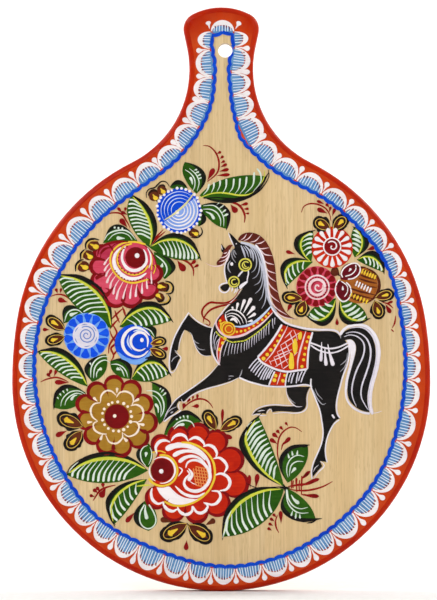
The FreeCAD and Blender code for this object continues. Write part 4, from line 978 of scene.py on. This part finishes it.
white.draw("""
    1.75 -35.4,-222.2 -36,-218.4 -34,-215.4 -31,-214.6 -28,-215.6 / -27.6,-215 -25.6,-212.4
    -22.6,-211.4 -19.8,-212.4 -18,-215.2 / -18,-214.6 -14.6,-213 -11.6,-214 -9.6,-216.2 -9.2,-218.2 /
    -10,-218 -7,-217.2 -4,-218.6 -2.4,-221.6 -3,-224 / -4.4,-224.6 -1,-224.2 2,-226.6 3.2,-229.4
    1.4,-232.8 / -3.6,-233.8 0,-232.9 3.4,-234.6 4.8,-238 3,-241.4 -1,-242.4 / -5.4,-242.4 -1.6,-242.8
    -0.4,-245.8 -2.4,-249 -5.4,-250 -9.2,-248.8 / -9.8,-248.6 -7.6,-250.4 -8.4,-253 -11,-254.6
    -13.8,-253.8 -15.6,-250.6 / -16,-250.6 -16,-253.4 -18.4,-255.3 -21.4,-254.8 -23.4,-252.8 -24,-251 /
    -24,-252.2 -26.6,-253.6 -29.6,-252.6 -31.4,-250.4 -32,-248 / -32,-248.6 -34.8,-249.5 -37.6,-247.4
    -38.6,-243.8 -38,-240.6""", "arc", 0.7, (1.0, 0.95))
white.dot(-33, -231.6, 1.25)
# where the petals of the rayed flowers meet the ground
OCHRE_PETALS = spots("""
    -58.9,-185.4 -50,-188 -44,-195 -42,-204.6 -46.4,-212.3 -55,-217.2 -63,-216 -69.5,-211 -73.2,-203.6
    -73.7,-195 -67.8,-188.6""")
PINK_PETALS = spots("""
    -38,-122.5 -41,-130.4 -49.6,-134.6 -57.6,-134.6 -64,-129.6 -66.6,-119 -65,-112""")
RED_PETALS = spots("""
    -23.4,-213 -13,-212.4 -3.2,-215.6 4.6,-225.6 6.8,-238.4 -2.6,-248.8 -13.6,-253.2 -25.8,-252.4
    -34.8,-245.6""")

OCHRE_RING = OCHRE_PETALS + OCHRE_PETALS[:1]
gaps = Strokes("ochre_petal_gaps", paint("umber_gouache", (112, 66, 14), (140, 92, 26)), 0.01)
petal_gaps(gaps, OCHRE_RING, (-58, -201.4), 0.72, 1.0, 0.6)
gaps.finish()
wedges = Strokes("petal_wedges", SHADE_RED, 0.03)
petal_gaps(wedges, OCHRE_RING, (-58, -201.4), 0.84, 1.24, 2.3)
petal_gaps(wedges, PINK_PETALS, (-50, -119.4), 0.8, 1.26, 2.3)
wedges.finish()
crown_paint = paint("crown_pink_gouache", (176, 40, 70), (194, 66, 92))
crown = Strokes("pink_flower_crown", crown_paint, 0.0)
crown.fill(spots("""
    -67.4,-112 -66.4,-109.2 -63.4,-107 -59.2,-105.9 -54,-105.2 -50,-105.6 -53,-108.4 -58,-110.6
    -61.4,-114.4 -65,-115"""), 0.2)
crown.finish()
crown_rim = Strokes("pink_flower_crown_rim", SHADE_RED, 0.06)
crown_rim.draw("""
    1.5 -68,-113.4 -67.3,-109.8 -64.6,-107.4 -60.6,-105.9 -55.6,-105.2 -50,-105.6 1.2 -66.6,-112
    -64.4,-109.4 -61.2,-108.4 1.1 -62.6,-106 -60.4,-108.6 -59,-111.4""")
crown_rim.finish()
petal_gaps(reds, RED_PETALS, (-17.5, -232.8), 0.86, 1.12, 1.0)

# red daisy and crimson rosette
RED_DAISY = (61, -108)
ROSETTE = (52.8, -130.4)
petal_white = Strokes("red_daisy_petals", WHITE, 0.1)
petal_ring(petal_white, (61, -108.4), 5.0, 10.9, 15, 0.3, 2.7)
petal_white.stroke(circle(*RED_DAISY, 4.7, 0, 360, 20), 0.8, "line")
petal_white.stroke(spiral((61.2, -108), 0.3, 0.1806, 17, 2.0), 0.75, "line", 0.5)
petal_white.finish()
crimson = Strokes("rosette_petals", SHADE_RED, 0.03)
petal_ring(crimson, (52.5, -130), 5.6, 11.0, 15, 0.1, 3.8)
crimson.finish()
rosette = Strokes("rosette_rings", PALE_PINK, 0.13)
rosette.stroke(circle(*ROSETTE, 6.5, 0, 360, 22), 0.95, "line")
rosette.stroke(circle(*ROSETTE, 4.3, 0, 360, 20), 1.5, "line")
rosette.stroke(spiral((53.2, -130.2), 0.3, 0.168, 17), 0.9, "line", 0.5)
rosette.finish()
seeds = Strokes("rosette_seeds", MAROON, 0.11)
for k in range(22):
    seeds.dot(*polar(ROSETTE, 5.45, 2 * math.pi * k / 22), 0.42)
for r, start, end in ((3.0, 60, 200), (1.8, 150, 330), (2.9, 240, 330)):
    seeds.stroke(circle(53, -130.3, r, start, end, 8), 0.4, "lens", 0.5)
seeds.finish()
centre = Strokes("red_daisy_centre", SHADE_RED, 0.0)
centre.fill(circle(*RED_DAISY, 4.4, 0, 350, 24))
centre.finish()

# striped bud: slanting bands with rows of dashes between them
bands = Strokes("striped_bud_bands", BROWN, 0.03)
for (a, b), width, _ in read_strokes("""
        1 68.4,-134.6 80.4,-139 0.8 67.4,-132.4 83.4,-136.6 0.9 69,-130.4 84.6,-134.6
        0.6 73,-128 85.6,-130.6 0.9 75.6,-125.6 85.8,-128.2 0.7 76,-123.4 85.2,-126.2
        0.9 77.4,-120.6 83.6,-122.8 0.8 72,-119.2 79.6,-119.4"""):
    bands.stroke(bowed(a, b, 0, -0.3), 1.35 * width, "arc")
bands.draw("1.5 79.8,-119.6 84.4,-122.6 86.8,-127.2 86.4,-132.6 83.4,-136.8 79.4,-139.4")
bands.finish()
dashes = Strokes("striped_bud_yellow_dashes", YELLOW, 0.06)
for a, b in ((71.4, -134.6), (80, -138.4)), ((77.6, -121.6), (84.6, -124.8)):
    for k in range(6):
        u, v = [p + (q - p) * k / 5 for p, q in zip(a, b)]
        dashes.stroke([(u + 0.6, v + 1.3), (u - 0.5, v - 1.3)], 1.05, "line", 0.5)
dashes.finish()
for k in range(6):
    u, v = 74.4 + 1.5 * k, -128.2 - 0.75 * k
    white.stroke([(u + 0.6, v + 1.4), (u - 0.6, v - 1.5)], 0.95, "line", 0.5)
white.draw("""
    0.8 line 66.8,-125 66,-122.6 68,-119.4 71.6,-117.4 74.6,-117.4 76.4,-119.6 75.8,-122.8 73,-125.4
    69.6,-126 0.6 line 68.2,-124.4 71.8,-123.2 74,-120.6 74,-118 1.6 drop 70.2,-121.8 71.4,-120 0.8
    line 65,-126.2 63.2,-129 62.8,-132.6 64.2,-136 66.8,-138.2 69.8,-137 71.4,-133.6 70.8,-130
    68.6,-127.6 0.6 line 66,-127 69.2,-129.6 69.4,-132.8 67.8,-135.6 1.5 drop 66.8,-129.6 66.9,-132
    """, step=0.6)
finish_all(white, pale, gold_rings, reds, red_dots)

# ---- the horse ----
OUTLINE_WEIGHT = 0.76        # share of the widths given below
OUTLINE_WHITE = gouache("outline", (242, 236, 242), (196, 186, 204))
outline = Strokes("horse_outline", OUTLINE_WHITE, 0.04)
outline.draw("""
    0.8 arc 4,-100.2 4.5,-102.2 5.7,-105 7.2,-108.2 0.6 arc 0.1,-107.2 0.2,-108.4 0.7,-109.8 0.8 arc
    8.1,-106.8 8.4,-106.1 1 line 4.6,-109.8 4.2,-113 2.8,-116 2,-118.6 1.8,-121.6 2.3,-125 3.2,-128 1.1
    line 3.6,-128 1.4,-128.2 -0.7,-129.4 -1.1,-131.2 0,-132.8 2,-133.4 3.8,-132.4 4.9,-130.4 0.9 arc
    6.2,-130.2 6.1,-131.6 5.6,-133 / 8.2,-130.6 7.8,-132.4 6.8,-133.8 0.7 arc 9,-130 8.9,-131.8
    8.3,-133.4 1.3 line 12,-121.4 10.6,-122.8 9.2,-124.6 1 line 14.9,-121 14.9,-123.2 14.4,-125.4
    14.2,-128 0.9 arc 11,-131.6 9.2,-134 7,-136.8 4.2,-139.8 1.4,-143 -1.4,-146.8 -3.6,-150.4
    -4.6,-152.8 1.5 line 27.4,-140.2 28.6,-142.8 31,-146 35,-149.6 40,-151.6 46,-153 53,-153.7
    60,-153.8 63.6,-154.6 65.6,-156.8 2.1 line 65.2,-156.8 67.4,-153.6 70.6,-151.7 75,-151 79.4,-151.8
    83,-154.6 85.6,-159 86.8,-164.4 86.6,-170.4 85.2,-177 83.2,-184 82.1,-190 82.2,-195.4 83.2,-200.4
    1.5 line 69.2,-159.8 71.6,-160.4 73.2,-163 72.6,-168.6 70.6,-175 69,-181.6 68.5,-187.6 69.4,-192.6
    72.4,-196.4 76.8,-199 81.8,-200 1 line -17.9,-144.2 -19.6,-147 -22.2,-151 -25,-156.2 -27.1,-161.8
    -28.3,-167.4 -28.6,-172.6 -28.2,-176.6 -26.8,-177.6 0.9 arc -17.8,-144.4 -14.5,-148 -11,-150.4
    -7.4,-152.1 -4.6,-152.6 0.6 arc -20.3,-154 -21.6,-157 -22.9,-161 -23.4,-164.8 0.8 arc -24.8,-166.2
    -22.1,-169.2 -23.8,-172.8 -25.6,-176.4 -27,-177.6 0.6 arc -17.6,-154.8 -16.2,-156.4 -15.2,-160
    -13.8,-163.8 -11.6,-166.9 -8.8,-168.2 -5.6,-168 1.1 line -4.8,-152.8 -5.6,-157 -5.6,-162 -4.6,-167
    -2.6,-171 -1,-173.2 0.85 arc -1.7,-173 -4.5,-176.2 -8.4,-180 -13.9,-184.2 -19.7,-188.2 -24.2,-191.5
    -27.4,-195.2 -30.1,-199.6 -31.8,-204.2 0.9 arc 9.4,-180.2 4.5,-182.7 -1,-184.4 -7,-186 -12.4,-187.9
    -16.9,-190.4 -19.4,-193 -21,-193.6 -22,-191.8 1 line -22,-198 -24.6,-199.9 -28,-201.6 -31.4,-204.4
    0.8 arc -22.6,-193.4 -23.6,-195.4 -22.8,-198 1.2 line 9.8,-180.1 14.4,-182 19.6,-183.6 25.6,-184.8
    32.6,-185.1 39.6,-184.8 45.6,-184 50,-184.8 1.05 line 49.4,-180.6 49.3,-184 50,-187 52,-192.2
    54.1,-197.8 55.3,-204 56,-210.4 55.1,-216.4 53,-221.6 50.8,-226.6 49.7,-231.4 49.9,-236 0.8 arc
    35.6,-185.6 35.9,-188.6 37.3,-192.2 39.6,-195 41.6,-196.1 44.6,-196 0.9 arc 40.6,-195.6 35,-195.3
    29,-195 23.3,-195.8 19.2,-197.6 16.7,-200.8 / 28.2,-200 34,-199.3 40.4,-199.6 45,-198.8 47.2,-196.2
    47.2,-191.4 48,-188 49.6,-185.4 0.8 arc 17,-201 19.5,-200.2 22.4,-201 25,-201 0.6 arc 20,-198.7
    22,-198.1 24,-198.2 / 25,-199.8 26,-198 27.4,-197.4 28,-199.2 1.2 line 70,-162 70.5,-166.6
    69.4,-172.6 67,-179.2 65.4,-185.2 64,-190.6 63.4,-195.6 63.9,-200 65.4,-202.4 1 line 65,-203.2
    62.2,-205.4 60,-209 58.2,-213.6 57.3,-218.8 57.4,-222.8 58.3,-226.8 0.85 arc 54.2,-226 56.2,-227.4
    56.4,-229.2 53.4,-232.2 50.8,-235.8 0.5 arc 53,-228.4 51.6,-229.9 50.6,-232 1.5 line 60.9,-200.4
    62.3,-202.5 0.5 arc 82.4,-199.6 85.6,-199.4 88.6,-198.4 1.25 line 18.8,-106.9 21.9,-111 23.5,-115.9
    24.5,-120.8 25.3,-126.4 25.8,-131.8 26.8,-137.2 27.9,-141""", step=0.9, weight=OUTLINE_WEIGHT)
outline.fill(spots("""
    14.2,-126.8 12,-128 10.2,-129.3 9.8,-130.4 10.6,-131.4 12.4,-129.8 14.3,-127.9"""), 0.12)
outline.fill(spots("""
    68.8,-159.4 71.4,-159.2 73.4,-161 74,-164.4 73,-169.6 71.4,-175.4 69.8,-181.6 69.2,-186.6
    68.2,-186.6 68.8,-181 70.2,-174.6 71,-168.6 70.8,-164 69.6,-161.2"""), 0.12)
outline.dot(5.8, -117.6, 0.85, 1.2)
outline.finish()

grey = Strokes("horse_grey_strokes", GREY_WHITE, 0.03)
grey.draw("""
    0.7 5.1,-115.8 4,-117.4 3.7,-119.4 4.3,-121.2 5.4,-122.5 0.5 6.2,-108.8 5.8,-112 6.3,-114.6
    8,-116.9 / 6.6,-109.4 6.8,-112.2 8.1,-114.3 0.45 7.2,-109.8 7.7,-111.5 8.6,-112.4 0.5 -15,-159.2
    -14,-160.6 -12,-161.4 / -14.7,-161 -12.8,-163.8 -10.8,-164.7 -8.8,-164.8 0.6 -27.4,-171.6
    -26.5,-169.8 -25,-168.6 -23.6,-168 0.7 -25.6,-165 -23.8,-166.8 0.6 9.8,-180 10.9,-178 11.5,-175.6
    0.5 4,-179.4 5.6,-179.2 7,-179.4 0.4 3.8,-181 5.4,-180.6 0.6 -24.2,-196 -27,-197.2 -29.4,-199.2
    -30.6,-202 0.8 -26.4,-198.8 -28,-199.7 0.45 51.6,-186 53,-189.2 55.8,-192.2 0.6 50.4,-186.6
    52.8,-191.6 55.6,-194.8 57.6,-194.2 0.5 69.4,-166.4 69,-170 66.6,-172.4 65.4,-173.2 / 69,-170.6
    68,-174 65.4,-177 0.4 37.4,-191 39,-193 41,-194.4 0.5 65.6,-156.8 65.7,-158.6 / 20.6,-198.8
    22.4,-198.2 / 53.6,-228 51.8,-229.8""", "arc", 0.7, (0.9, 0.7))
grey.finish()

tail = Strokes("tail_strands", LILAC_WHITE, 0.04)
tail.draw("""
    1 68.4,-155.8 72,-155 76,-155.6 79.4,-158 81.6,-162 82.2,-167 81.2,-173 79,-179.6 77.2,-185.4
    77,-190.6 79,-195 81,-198 / 67.4,-157.6 71,-156.6 75,-157.6 78,-160.6 78.8,-164.4 77.6,-169.4
    75,-174.8 72.8,-181 71.8,-187 72.6,-192 74.4,-196 1.2 70.6,-152.9 75,-152.3 78.8,-153 82,-155.6
    84.5,-159.6 85.6,-164.6 85.4,-170.4 84,-177 82,-184 80.9,-190 81,-195.4 82,-199.6
    """, "arc", 0.8, (1.0, 0.85))
tail.finish()

strands = Strokes("neck_strands", gouache("neck_strand", (206, 208, 224), (100, 98, 108)), 0.04)
strands.draw("""
    1.2 10.8,-107.2 12,-110 13,-113 13.3,-114.6 0.6 12,-107.6 14,-110.4 15.1,-113.8 0.9 13,-107.4
    15.6,-110.4 16.6,-114.4 1 16,-109 17.4,-112.4 17.8,-116.2 0.65 12,-106.4 15.6,-107.8 18.2,-111
    19.4,-115 19.3,-118.6 18.1,-121.2 16.5,-122.3 0.6 15,-107 18.5,-109.6 20.6,-114 21.2,-118 20.6,-122
    19.2,-124.5 17.2,-125.7 / 19.5,-111 21.3,-116 22.2,-121 21.9,-125 20.7,-127.8 18,-129.4 / 20.4,-113
    22.2,-118 23,-123 22.6,-128 21.1,-131.6 18.5,-134 0.65 21.4,-117 23.2,-123 23.7,-128 23.2,-132.4
    22.3,-135.8 20.7,-138 0.7 23.4,-126 24.4,-131 24.6,-135.4 23.9,-139 22.2,-142.2
    """, "arc", 0.7, (1.0, 0.6))
strands.draw("""
    1.2 10.6,-105.8 15,-106.6 18.8,-108.6 21.2,-112 22.9,-117 23.9,-122.4 24.5,-128 25,-132.6 26,-136.8
    27.8,-140.8 30.4,-144.2""", "line", 0.8)
strands.finish()

mane = Strokes("mane_strands", PALE_PINK, 0.04)
mane.draw("""
    0.6 10.6,-104.5 12.6,-103.2 14,-101 / 12.2,-104.9 15,-103.6 17.2,-100.8 / 15.6,-105.6 18.8,-104.9
    21.4,-102.2 / 19,-106.4 21.6,-106.1 24.2,-104.6 / 19,-108.2 22,-109.2 26.4,-108.6 / 22,-109.9
    24,-112.3 28.4,-113.1 / 23,-114.4 25,-116.8 29.2,-118 / 24,-118.4 26,-121.3 30.2,-122.9 / 24.6,-121
    26.5,-124.8 30.2,-127.4 / 25.2,-125 27,-129.5 31.4,-133.4 / 25.6,-129.5 27.5,-135 32.4,-138.9 /
    26.8,-136 28.4,-139.4 31,-142.4 36.6,-145.9 / 3.4,-110.9 2.4,-111.6 1.2,-111.8 / 4.4,-110.4
    3.1,-112.9 1,-114 -1.2,-114.2 / 4.8,-110.6 3.7,-113.6 1.8,-115.5 -1.4,-116.5 / 5,-110 4.4,-113.4
    2.6,-116.8 0,-118.3 -3,-118.9 -6,-118.4 -9,-116.8""", "lens", 0.6, (1.0, 0.85))
mane.draw("0.5 28.4,-141.6 31.4,-145 36,-147.2 41.6,-147.8", "lens")
mane.finish()

# bridle rings: dark openings, pale yellow rings
openings = Strokes("bridle_openings", BLACK, 0.02)
openings.dot(13.3, -118, 3.1)
openings.dot(7, -127.3, 2.5)
openings.finish()
ring_paint = gouache("ring_yellow", (224, 216, 96), (190, 176, 60))
bridle = Strokes("bridle_ring_strokes", ring_paint, 0.22)
bridle.stroke(circle(13.2, -118, 3.3, 0, 360, 18), 0.85, "line", 0.6)
bridle.stroke(circle(13.5, -118.2, 1.9, 40, 330, 14), 0.75, "line", 0.5)
bridle.draw("0.6 12.6,-117.2 12.9,-118.6 13.9,-119.2", "line", 0.5)
bridle.stroke(circle(7, -127.4, 2.8, 0, 360, 16), 0.8, "line", 0.6)
bridle.stroke(circle(7.2, -127.5, 1.5, 60, 340, 12), 0.65, "line", 0.5)
bridle.finish()

# breast collar, fan on the neck and the fringe
fan = Strokes("neck_fan", WHITE, 0.06)
fan.draw("""
    1.9 10.4,-144 13,-137 2 12.2,-144.6 16.6,-136.2 2.3 14,-146 18.4,-140.8 1.9 14.6,-147.4 19,-144.8
    1.7 14.4,-149.4 17.4,-148.6 1.4 8.2,-143.8 9.2,-138.8 1.3 6.6,-143 6,-141""", "drop", 0.6)
fan.draw("""
    0.8 2.2,-144.6 5,-142.9 8.5,-143.2 11.5,-145.2 13.5,-148.2 14,-150.6 0.55 2.6,-145.8 5.4,-144.7
    8.6,-145.4 11,-147.5 12.2,-150.4 / 2.8,-147 5.4,-146.1 8,-147 9.7,-149 10.6,-151 1.6 4.8,-148.6
    7,-147.8 9,-150.2 0.8 2.2,-144.8 2.6,-147.6 3.6,-149.8""", "arc", 0.6)
fan.finish()
collar = Strokes("collar_edges", SKY_WHITE, 0.05)
collar.draw("1.4 27.6,-140.6 24.4,-144.2 20.4,-148 16,-150.8 11,-152.1 6.6,-151.8", "arc")
collar.finish()
band_paint = gouache("collar_pink", (240, 208, 214), (220, 180, 190))
pink_band = Strokes("collar_pink_band", band_paint, 0.05)
pink_band.draw("""
    1.3 28.4,-144.2 25,-147.8 21,-151.4 17,-154 12.6,-156.4 8,-157.7 3.6,-157.6 0,-155.6 -2.4,-152.2
    -2.8,-149 -1.2,-146.4 1.2,-144.4""", "arc")
pink_band.draw("""
    0.7 -0.5,-157.4 -1.7,-162 -2.3,-166.6 -1.6,-171 -0.6,-173.4 / 3,-158.8 0.9,-162 -0.5,-166.4
    -0.8,-171 -1.2,-173""")
pink_band.finish()
rings = Strokes("roundel_rings", YELLOW, 0.06)
rings.stroke(circle(4, -153.4, 3.5, 0, 360, 18), 0.8, "line")
rings.stroke(circle(4.2, -153.4, 2.0, 0, 360, 14), 0.7, "line")
rings.draw("0.8 1.2,-156 -0.2,-153.4 0.2,-150.6 2.4,-149.4 5.4,-150", "arc")
for u, v, r in spots("""
        2,-158.4,1.1 0.8,-161.1,0.95 -0.8,-164.6,1 -0.6,-148.8,0.75 -0.2,-150.4,0.7 8.6,-154.9,0.7
        10.9,-154.6,0.75 13.2,-154.2,0.75 15.3,-153,0.7 17.8,-151.6,0.65 20,-150,0.65 22.6,-148.2,0.75
        24.6,-146.4,0.7 26,-144.8,0.6 33.3,-154,0.6 32.2,-157,0.8 31,-160,0.8 29.5,-162.5,0.85
        27.3,-164.8,1 25.3,-167.4,1 23.3,-169.6,1.1 48.2,-157.8,0.9 47.2,-160.3,0.8 46.3,-163.9,0.8
        45.8,-167.3,0.85 45.3,-170.3,0.85 44.4,-174,0.9 29.9,-179,1 29.2,-181.5,1.1 34.9,-178.9,0.8
        34,-181.8,1"""):
    rings.dot(u, v, r)
rings.fill(spots("42.6,-155.6 43.8,-154.8 44.4,-156 44,-158.8 42.8,-159.2 42.2,-157.4"), 0.12)
rings.fill(spots("""
    39.4,-159.8 41,-158.4 41.8,-161 42,-163.6 41.4,-166.2 40.4,-167.6 39.6,-165.6 39.2,-162.8"""), 0.12)
rings.fill(spots("""
    38,-166.2 39.4,-167 39.9,-170 40,-174.6 38.6,-175.6 37.4,-175 37.1,-172.6 37.4,-169.2"""), 0.12)
rings.finish()
red_eye = Strokes("roundel_centre", paint("roundel_red", (196, 64, 10), (210, 96, 20)), 0.04)
red_eye.dot(4.2, -153.4, 1.5)
red_eye.stroke(circle(4, -153.4, 2.8, 0, 360, 16), 0.35, "line")
red_eye.finish()
rope = Strokes("collar_rope", LIME, 0.06)
rope_line = spots("""
    -3,-154.6 -1.4,-156.6 1,-158 3.4,-159.6 6,-160.6 9,-160.3 12.6,-159.8 15,-158.6 18,-156.6 21.4,-154
    24.6,-151.2 27.2,-148.4""")
rope.stroke(rope_line, 0.75, "line", 0.6)
rope.finish()
twist = Strokes("rope_twists", BLACK, 0.12)
rope_points = steps_along(rope_line, 0.5)
for k in range(3, len(rope_points) - 1, 4):
    u, v = rope_points[k]
    twist.stroke([(u - 0.35, v + 0.5), (u + 0.35, v - 0.5)], 0.32, "line", 0.4)
twist.finish()
fringe = Strokes("fringe", LILAC_WHITE, 0.03)
for (a, b), width, _ in read_strokes("""
        0.5 3.6,-160.4 1.2,-168.4 / 5,-161 3.7,-168 / 6.5,-161.4 5.5,-167.2 / 8,-161.4 7.2,-167.2 /
        9.6,-161.2 8.8,-167 / 11.2,-161 11,-166.4 / 12.9,-160.4 12.7,-165.4 / 14.3,-159.6 14,-164.8 /
        15.6,-158.8 15.2,-164.2 / 17,-157.8 16.7,-163.4 / 18.4,-156.8 18.2,-162.2 / 19.7,-155.8
        19.3,-161 / 21,-154.8 20.8,-160 / 22.3,-153.8 22,-159 / 23.6,-152.8 23.4,-158.4 / 25,-151.4
        24.6,-157 / 26.4,-150 26.2,-156.4 / 28.2,-147.6 28.6,-153.2 / 29.6,-147 29.4,-151"""):
    fringe.stroke(bowed(a, b, -0.15, 0), width, "hair", 0.7, (0.95, 0.6))
for (a, b), width, _ in read_strokes("""
        0.72 19.8,-169.6 15.2,-175 / 20.8,-171 16.2,-176.6 / 21.8,-172 17.5,-177.4 / 23,-172.8
        18.7,-178.8 / 24.3,-173.5 20.2,-179.8 / 25.3,-174.2 21.5,-181.2 / 26.4,-174.8 23,-181.4 /
        27.5,-175.4 24.6,-181.2 / 28.5,-175.8 26,-180.6 / 38.6,-177.4 36.9,-182.6 / 40.2,-177.4
        38.4,-183.3 / 42.4,-177 41.3,-183.3 / 44.6,-176.6 42.4,-182 / 46.6,-175.8 43.8,-182.8"""):
    fringe.stroke(bowed(a, b, -0.2, 0.1), width, "line", 0.7, (1.0, 0.85))
fringe.draw("""
    0.4 -1,-158.6 -2.6,-161 -3.2,-165 / -2.2,-156.6 -3.6,-160 -4,-165 / -3.4,-155 -4.2,-158 -4.6,-162
    """, "hair")
fringe.finish()

# saddle cloth, girth and hip strap
trim = Strokes("saddle_trim", OUTLINE_WHITE, 0.08)
trim.draw("""
    1.2 line 33.4,-150.8 30.8,-155.4 27.5,-160.2 24,-164.6 20,-168.8 1.15 line 20,-168.8 22,-171.4
    26,-173.8 31,-175.8 36,-176.8 42,-176.2 47.4,-175.4 1.05 line 50.3,-155 48.9,-160 48,-165 47.6,-170
    47.4,-175.4 1 line 29.4,-176.6 27.7,-180.4 26.2,-184.4 0.8 line 36.6,-177 35.6,-181 35.2,-184.8
    0.95 line 48.8,-160.8 52,-161.9 55.6,-163.4 60,-164.1 65,-163.2 69.7,-161 0.8 line 49.2,-162.2
    52,-164.2 56,-165.9 60.5,-166.5 65.5,-165.2 70.1,-162.5 1.7 drop 55.2,-160.4 55.1,-165 54.8,-171.2
    2 drop 57,-163.6 57.2,-168 57.7,-173.6 / 58.6,-161.6 59.6,-166.6 61.6,-173.6""", step=0.8)
trim.finish()
lattice = Strokes("saddle_lattice", PALE_PINK, 0.04)
lattice.draw("""
    0.8 36.6,-151.4 34.4,-156 31,-162 28,-166.8 24,-171.6 1.1 46.6,-154.4 44.9,-160 43.2,-166 42.1,-171
    42,-175.6 0.7 32.8,-177.2 31.7,-180.6 30.6,-184 0.55 37.6,-155 38.8,-158.4 40,-161.6 / 35,-160
    36.4,-163.4 38,-167 / 32.6,-162.4 34.2,-166.6 36.6,-172.4 / 30.8,-166 32.4,-170 33.6,-175 0.5
    28.8,-168.6 30,-171.4 31,-174 / 26.4,-170.4 27.6,-173.2 0.55 34.9,-158.4 37.2,-156.2 39,-154 0.6
    32.4,-162.4 37,-159.4 43,-155.4 / 30.7,-166 35.4,-163.6 39.4,-160.8 / 29,-168.8 34,-166.6 39,-164.6
    / 26.8,-171.4 33,-168.8 38,-166 / 29.6,-174.2 33.4,-171.8 37.2,-169.6 0.5 33.8,-175.4 37.4,-172.8
    0.45 39.8,-153.6 41.4,-157.4 41.8,-160 0.4 40,-168 42,-166""", "arc", 0.7, (1.0, 0.85))
lattice.finish()

# reins hanging in front of the breast
reins = Strokes("reins", TWIG, 0.02)
reins.draw("""
    1.2 10.4,-131.4 8.6,-134.6 6,-137.4 2.6,-138.9 -2,-139 -6,-138.8 -9.2,-141 -10.6,-144 -9.8,-146.9
    -7.4,-148.4 -6.2,-150 -6.8,-151.4 -8.8,-150.4 1.05 8.6,-137 4,-139.6 -1,-140.9 -5.8,-142.8
    -9.2,-146.6 -10,-150""", "arc", 0.7, (1.0, 0.9))
reins.finish()

# ---- the stage ----
floor_z = cad_box[0][2]


def cyclorama():
    """Pale floor that sweeps up into a bowl all round."""
    flat, bend, top = 2.2, 1.6, 4.5          # metres
    bends, turns = 12, 64
    profile = [(0.5, 0.0), (1.2, 0.0), (flat, 0.0)]
    for k in range(1, bends + 1):
        angle = math.radians(90 * k / bends)
        profile.append((flat + bend * math.sin(angle), bend * (1 - math.cos(angle))))
    profile.append((flat + bend, top))
    verts, faces = [], []
    for r, z in profile:
        for k in range(turns):
            angle = 2 * math.pi * k / turns
            verts.append((r * math.cos(angle), r * math.sin(angle), floor_z + z))
    for ring in range(len(profile) - 1):
        for k in range(turns):
            a, b = ring * turns + k, ring * turns + (k + 1) % turns
            faces.append((a, a + turns, b + turns, b))
    faces.append(tuple(range(turns)))
    mesh = bpy.data.meshes.new("floor")
    mesh.from_pydata(verts, [], faces)
    for face in mesh.polygons:
        face.use_smooth = True
    floor = bpy.data.objects.new("floor", mesh)
    scene.collection.objects.link(floor)
    n = Nodes("floor_paper")
    fibre = n.noise(n.place, 260.0, 3.0)
    colour = n.blend(n.spread(fibre, 0.3, 0.7), rgb(243, 242, 240), rgb(248, 247, 246))
    mesh.materials.append(n.finish(colour, n.spread(fibre, 0.3, 0.7, 0.85, 0.95), 0.0, 0.2, 0.1))


cyclorama()

# plain soft light
world = bpy.data.worlds.new("studio")
scene.world = world
world.use_nodes = True
sky = world.node_tree.nodes["Background"]
sky.inputs["Color"].default_value = (1.0, 1.0, 1.0, 1.0)
sky.inputs["Strength"].default_value = 0.66


def softbox(name, place, aim, size, watts):
    """Round area light; its place, its aim and its size are in metres."""
    light = bpy.data.lights.new(name, "AREA")
    light.shape = "DISK"
    light.size = size
    light.energy = watts
    lamp = bpy.data.objects.new(name, light)
    lamp.location = place
    lamp.rotation_euler = (Vector(aim) - Vector(place)).to_track_quat("-Z", "Y").to_euler()
    scene.collection.objects.link(lamp)


middle = (0.0, -0.005, -0.14)            # of the board
softbox("key", (-0.9, -1.1, 1.0), middle, 0.9, 7.0)
softbox("fill", (1.1, -1.3, 0.3), middle, 1.2, 3.0)
softbox("back", (0.4, 1.4, 0.8), middle, 1.2, 0.6)
softbox("wall_left", (-2.2, 0.6, 1.6), (-0.6, 3.2, 0.2), 1.2, 50.0)
softbox("wall_right", (2.2, 0.6, 1.6), (0.6, 3.2, 0.2), 1.2, 50.0)

# the camera looks straight at the painted face
VIEW_HEIGHT = 330.0                      # height of the framed field at that face
VIEW_CENTRE = (-1.5, -137.4)
camera = bpy.data.cameras.new("camera")
camera.lens = 200.0
camera.sensor_fit = "VERTICAL"
camera.sensor_height = 36.0
eye = bpy.data.objects.new("camera", camera)
distance = VIEW_HEIGHT * camera.lens / camera.sensor_height
eye.location = ((VIEW_CENTRE[0] - HOLE_OFFSET) * MM, (-FILM_TOP - distance) * MM,
                VIEW_CENTRE[1] * MM)
eye.rotation_euler = (math.radians(90), 0, 0)
scene.collection.objects.link(eye)
scene.camera = eye
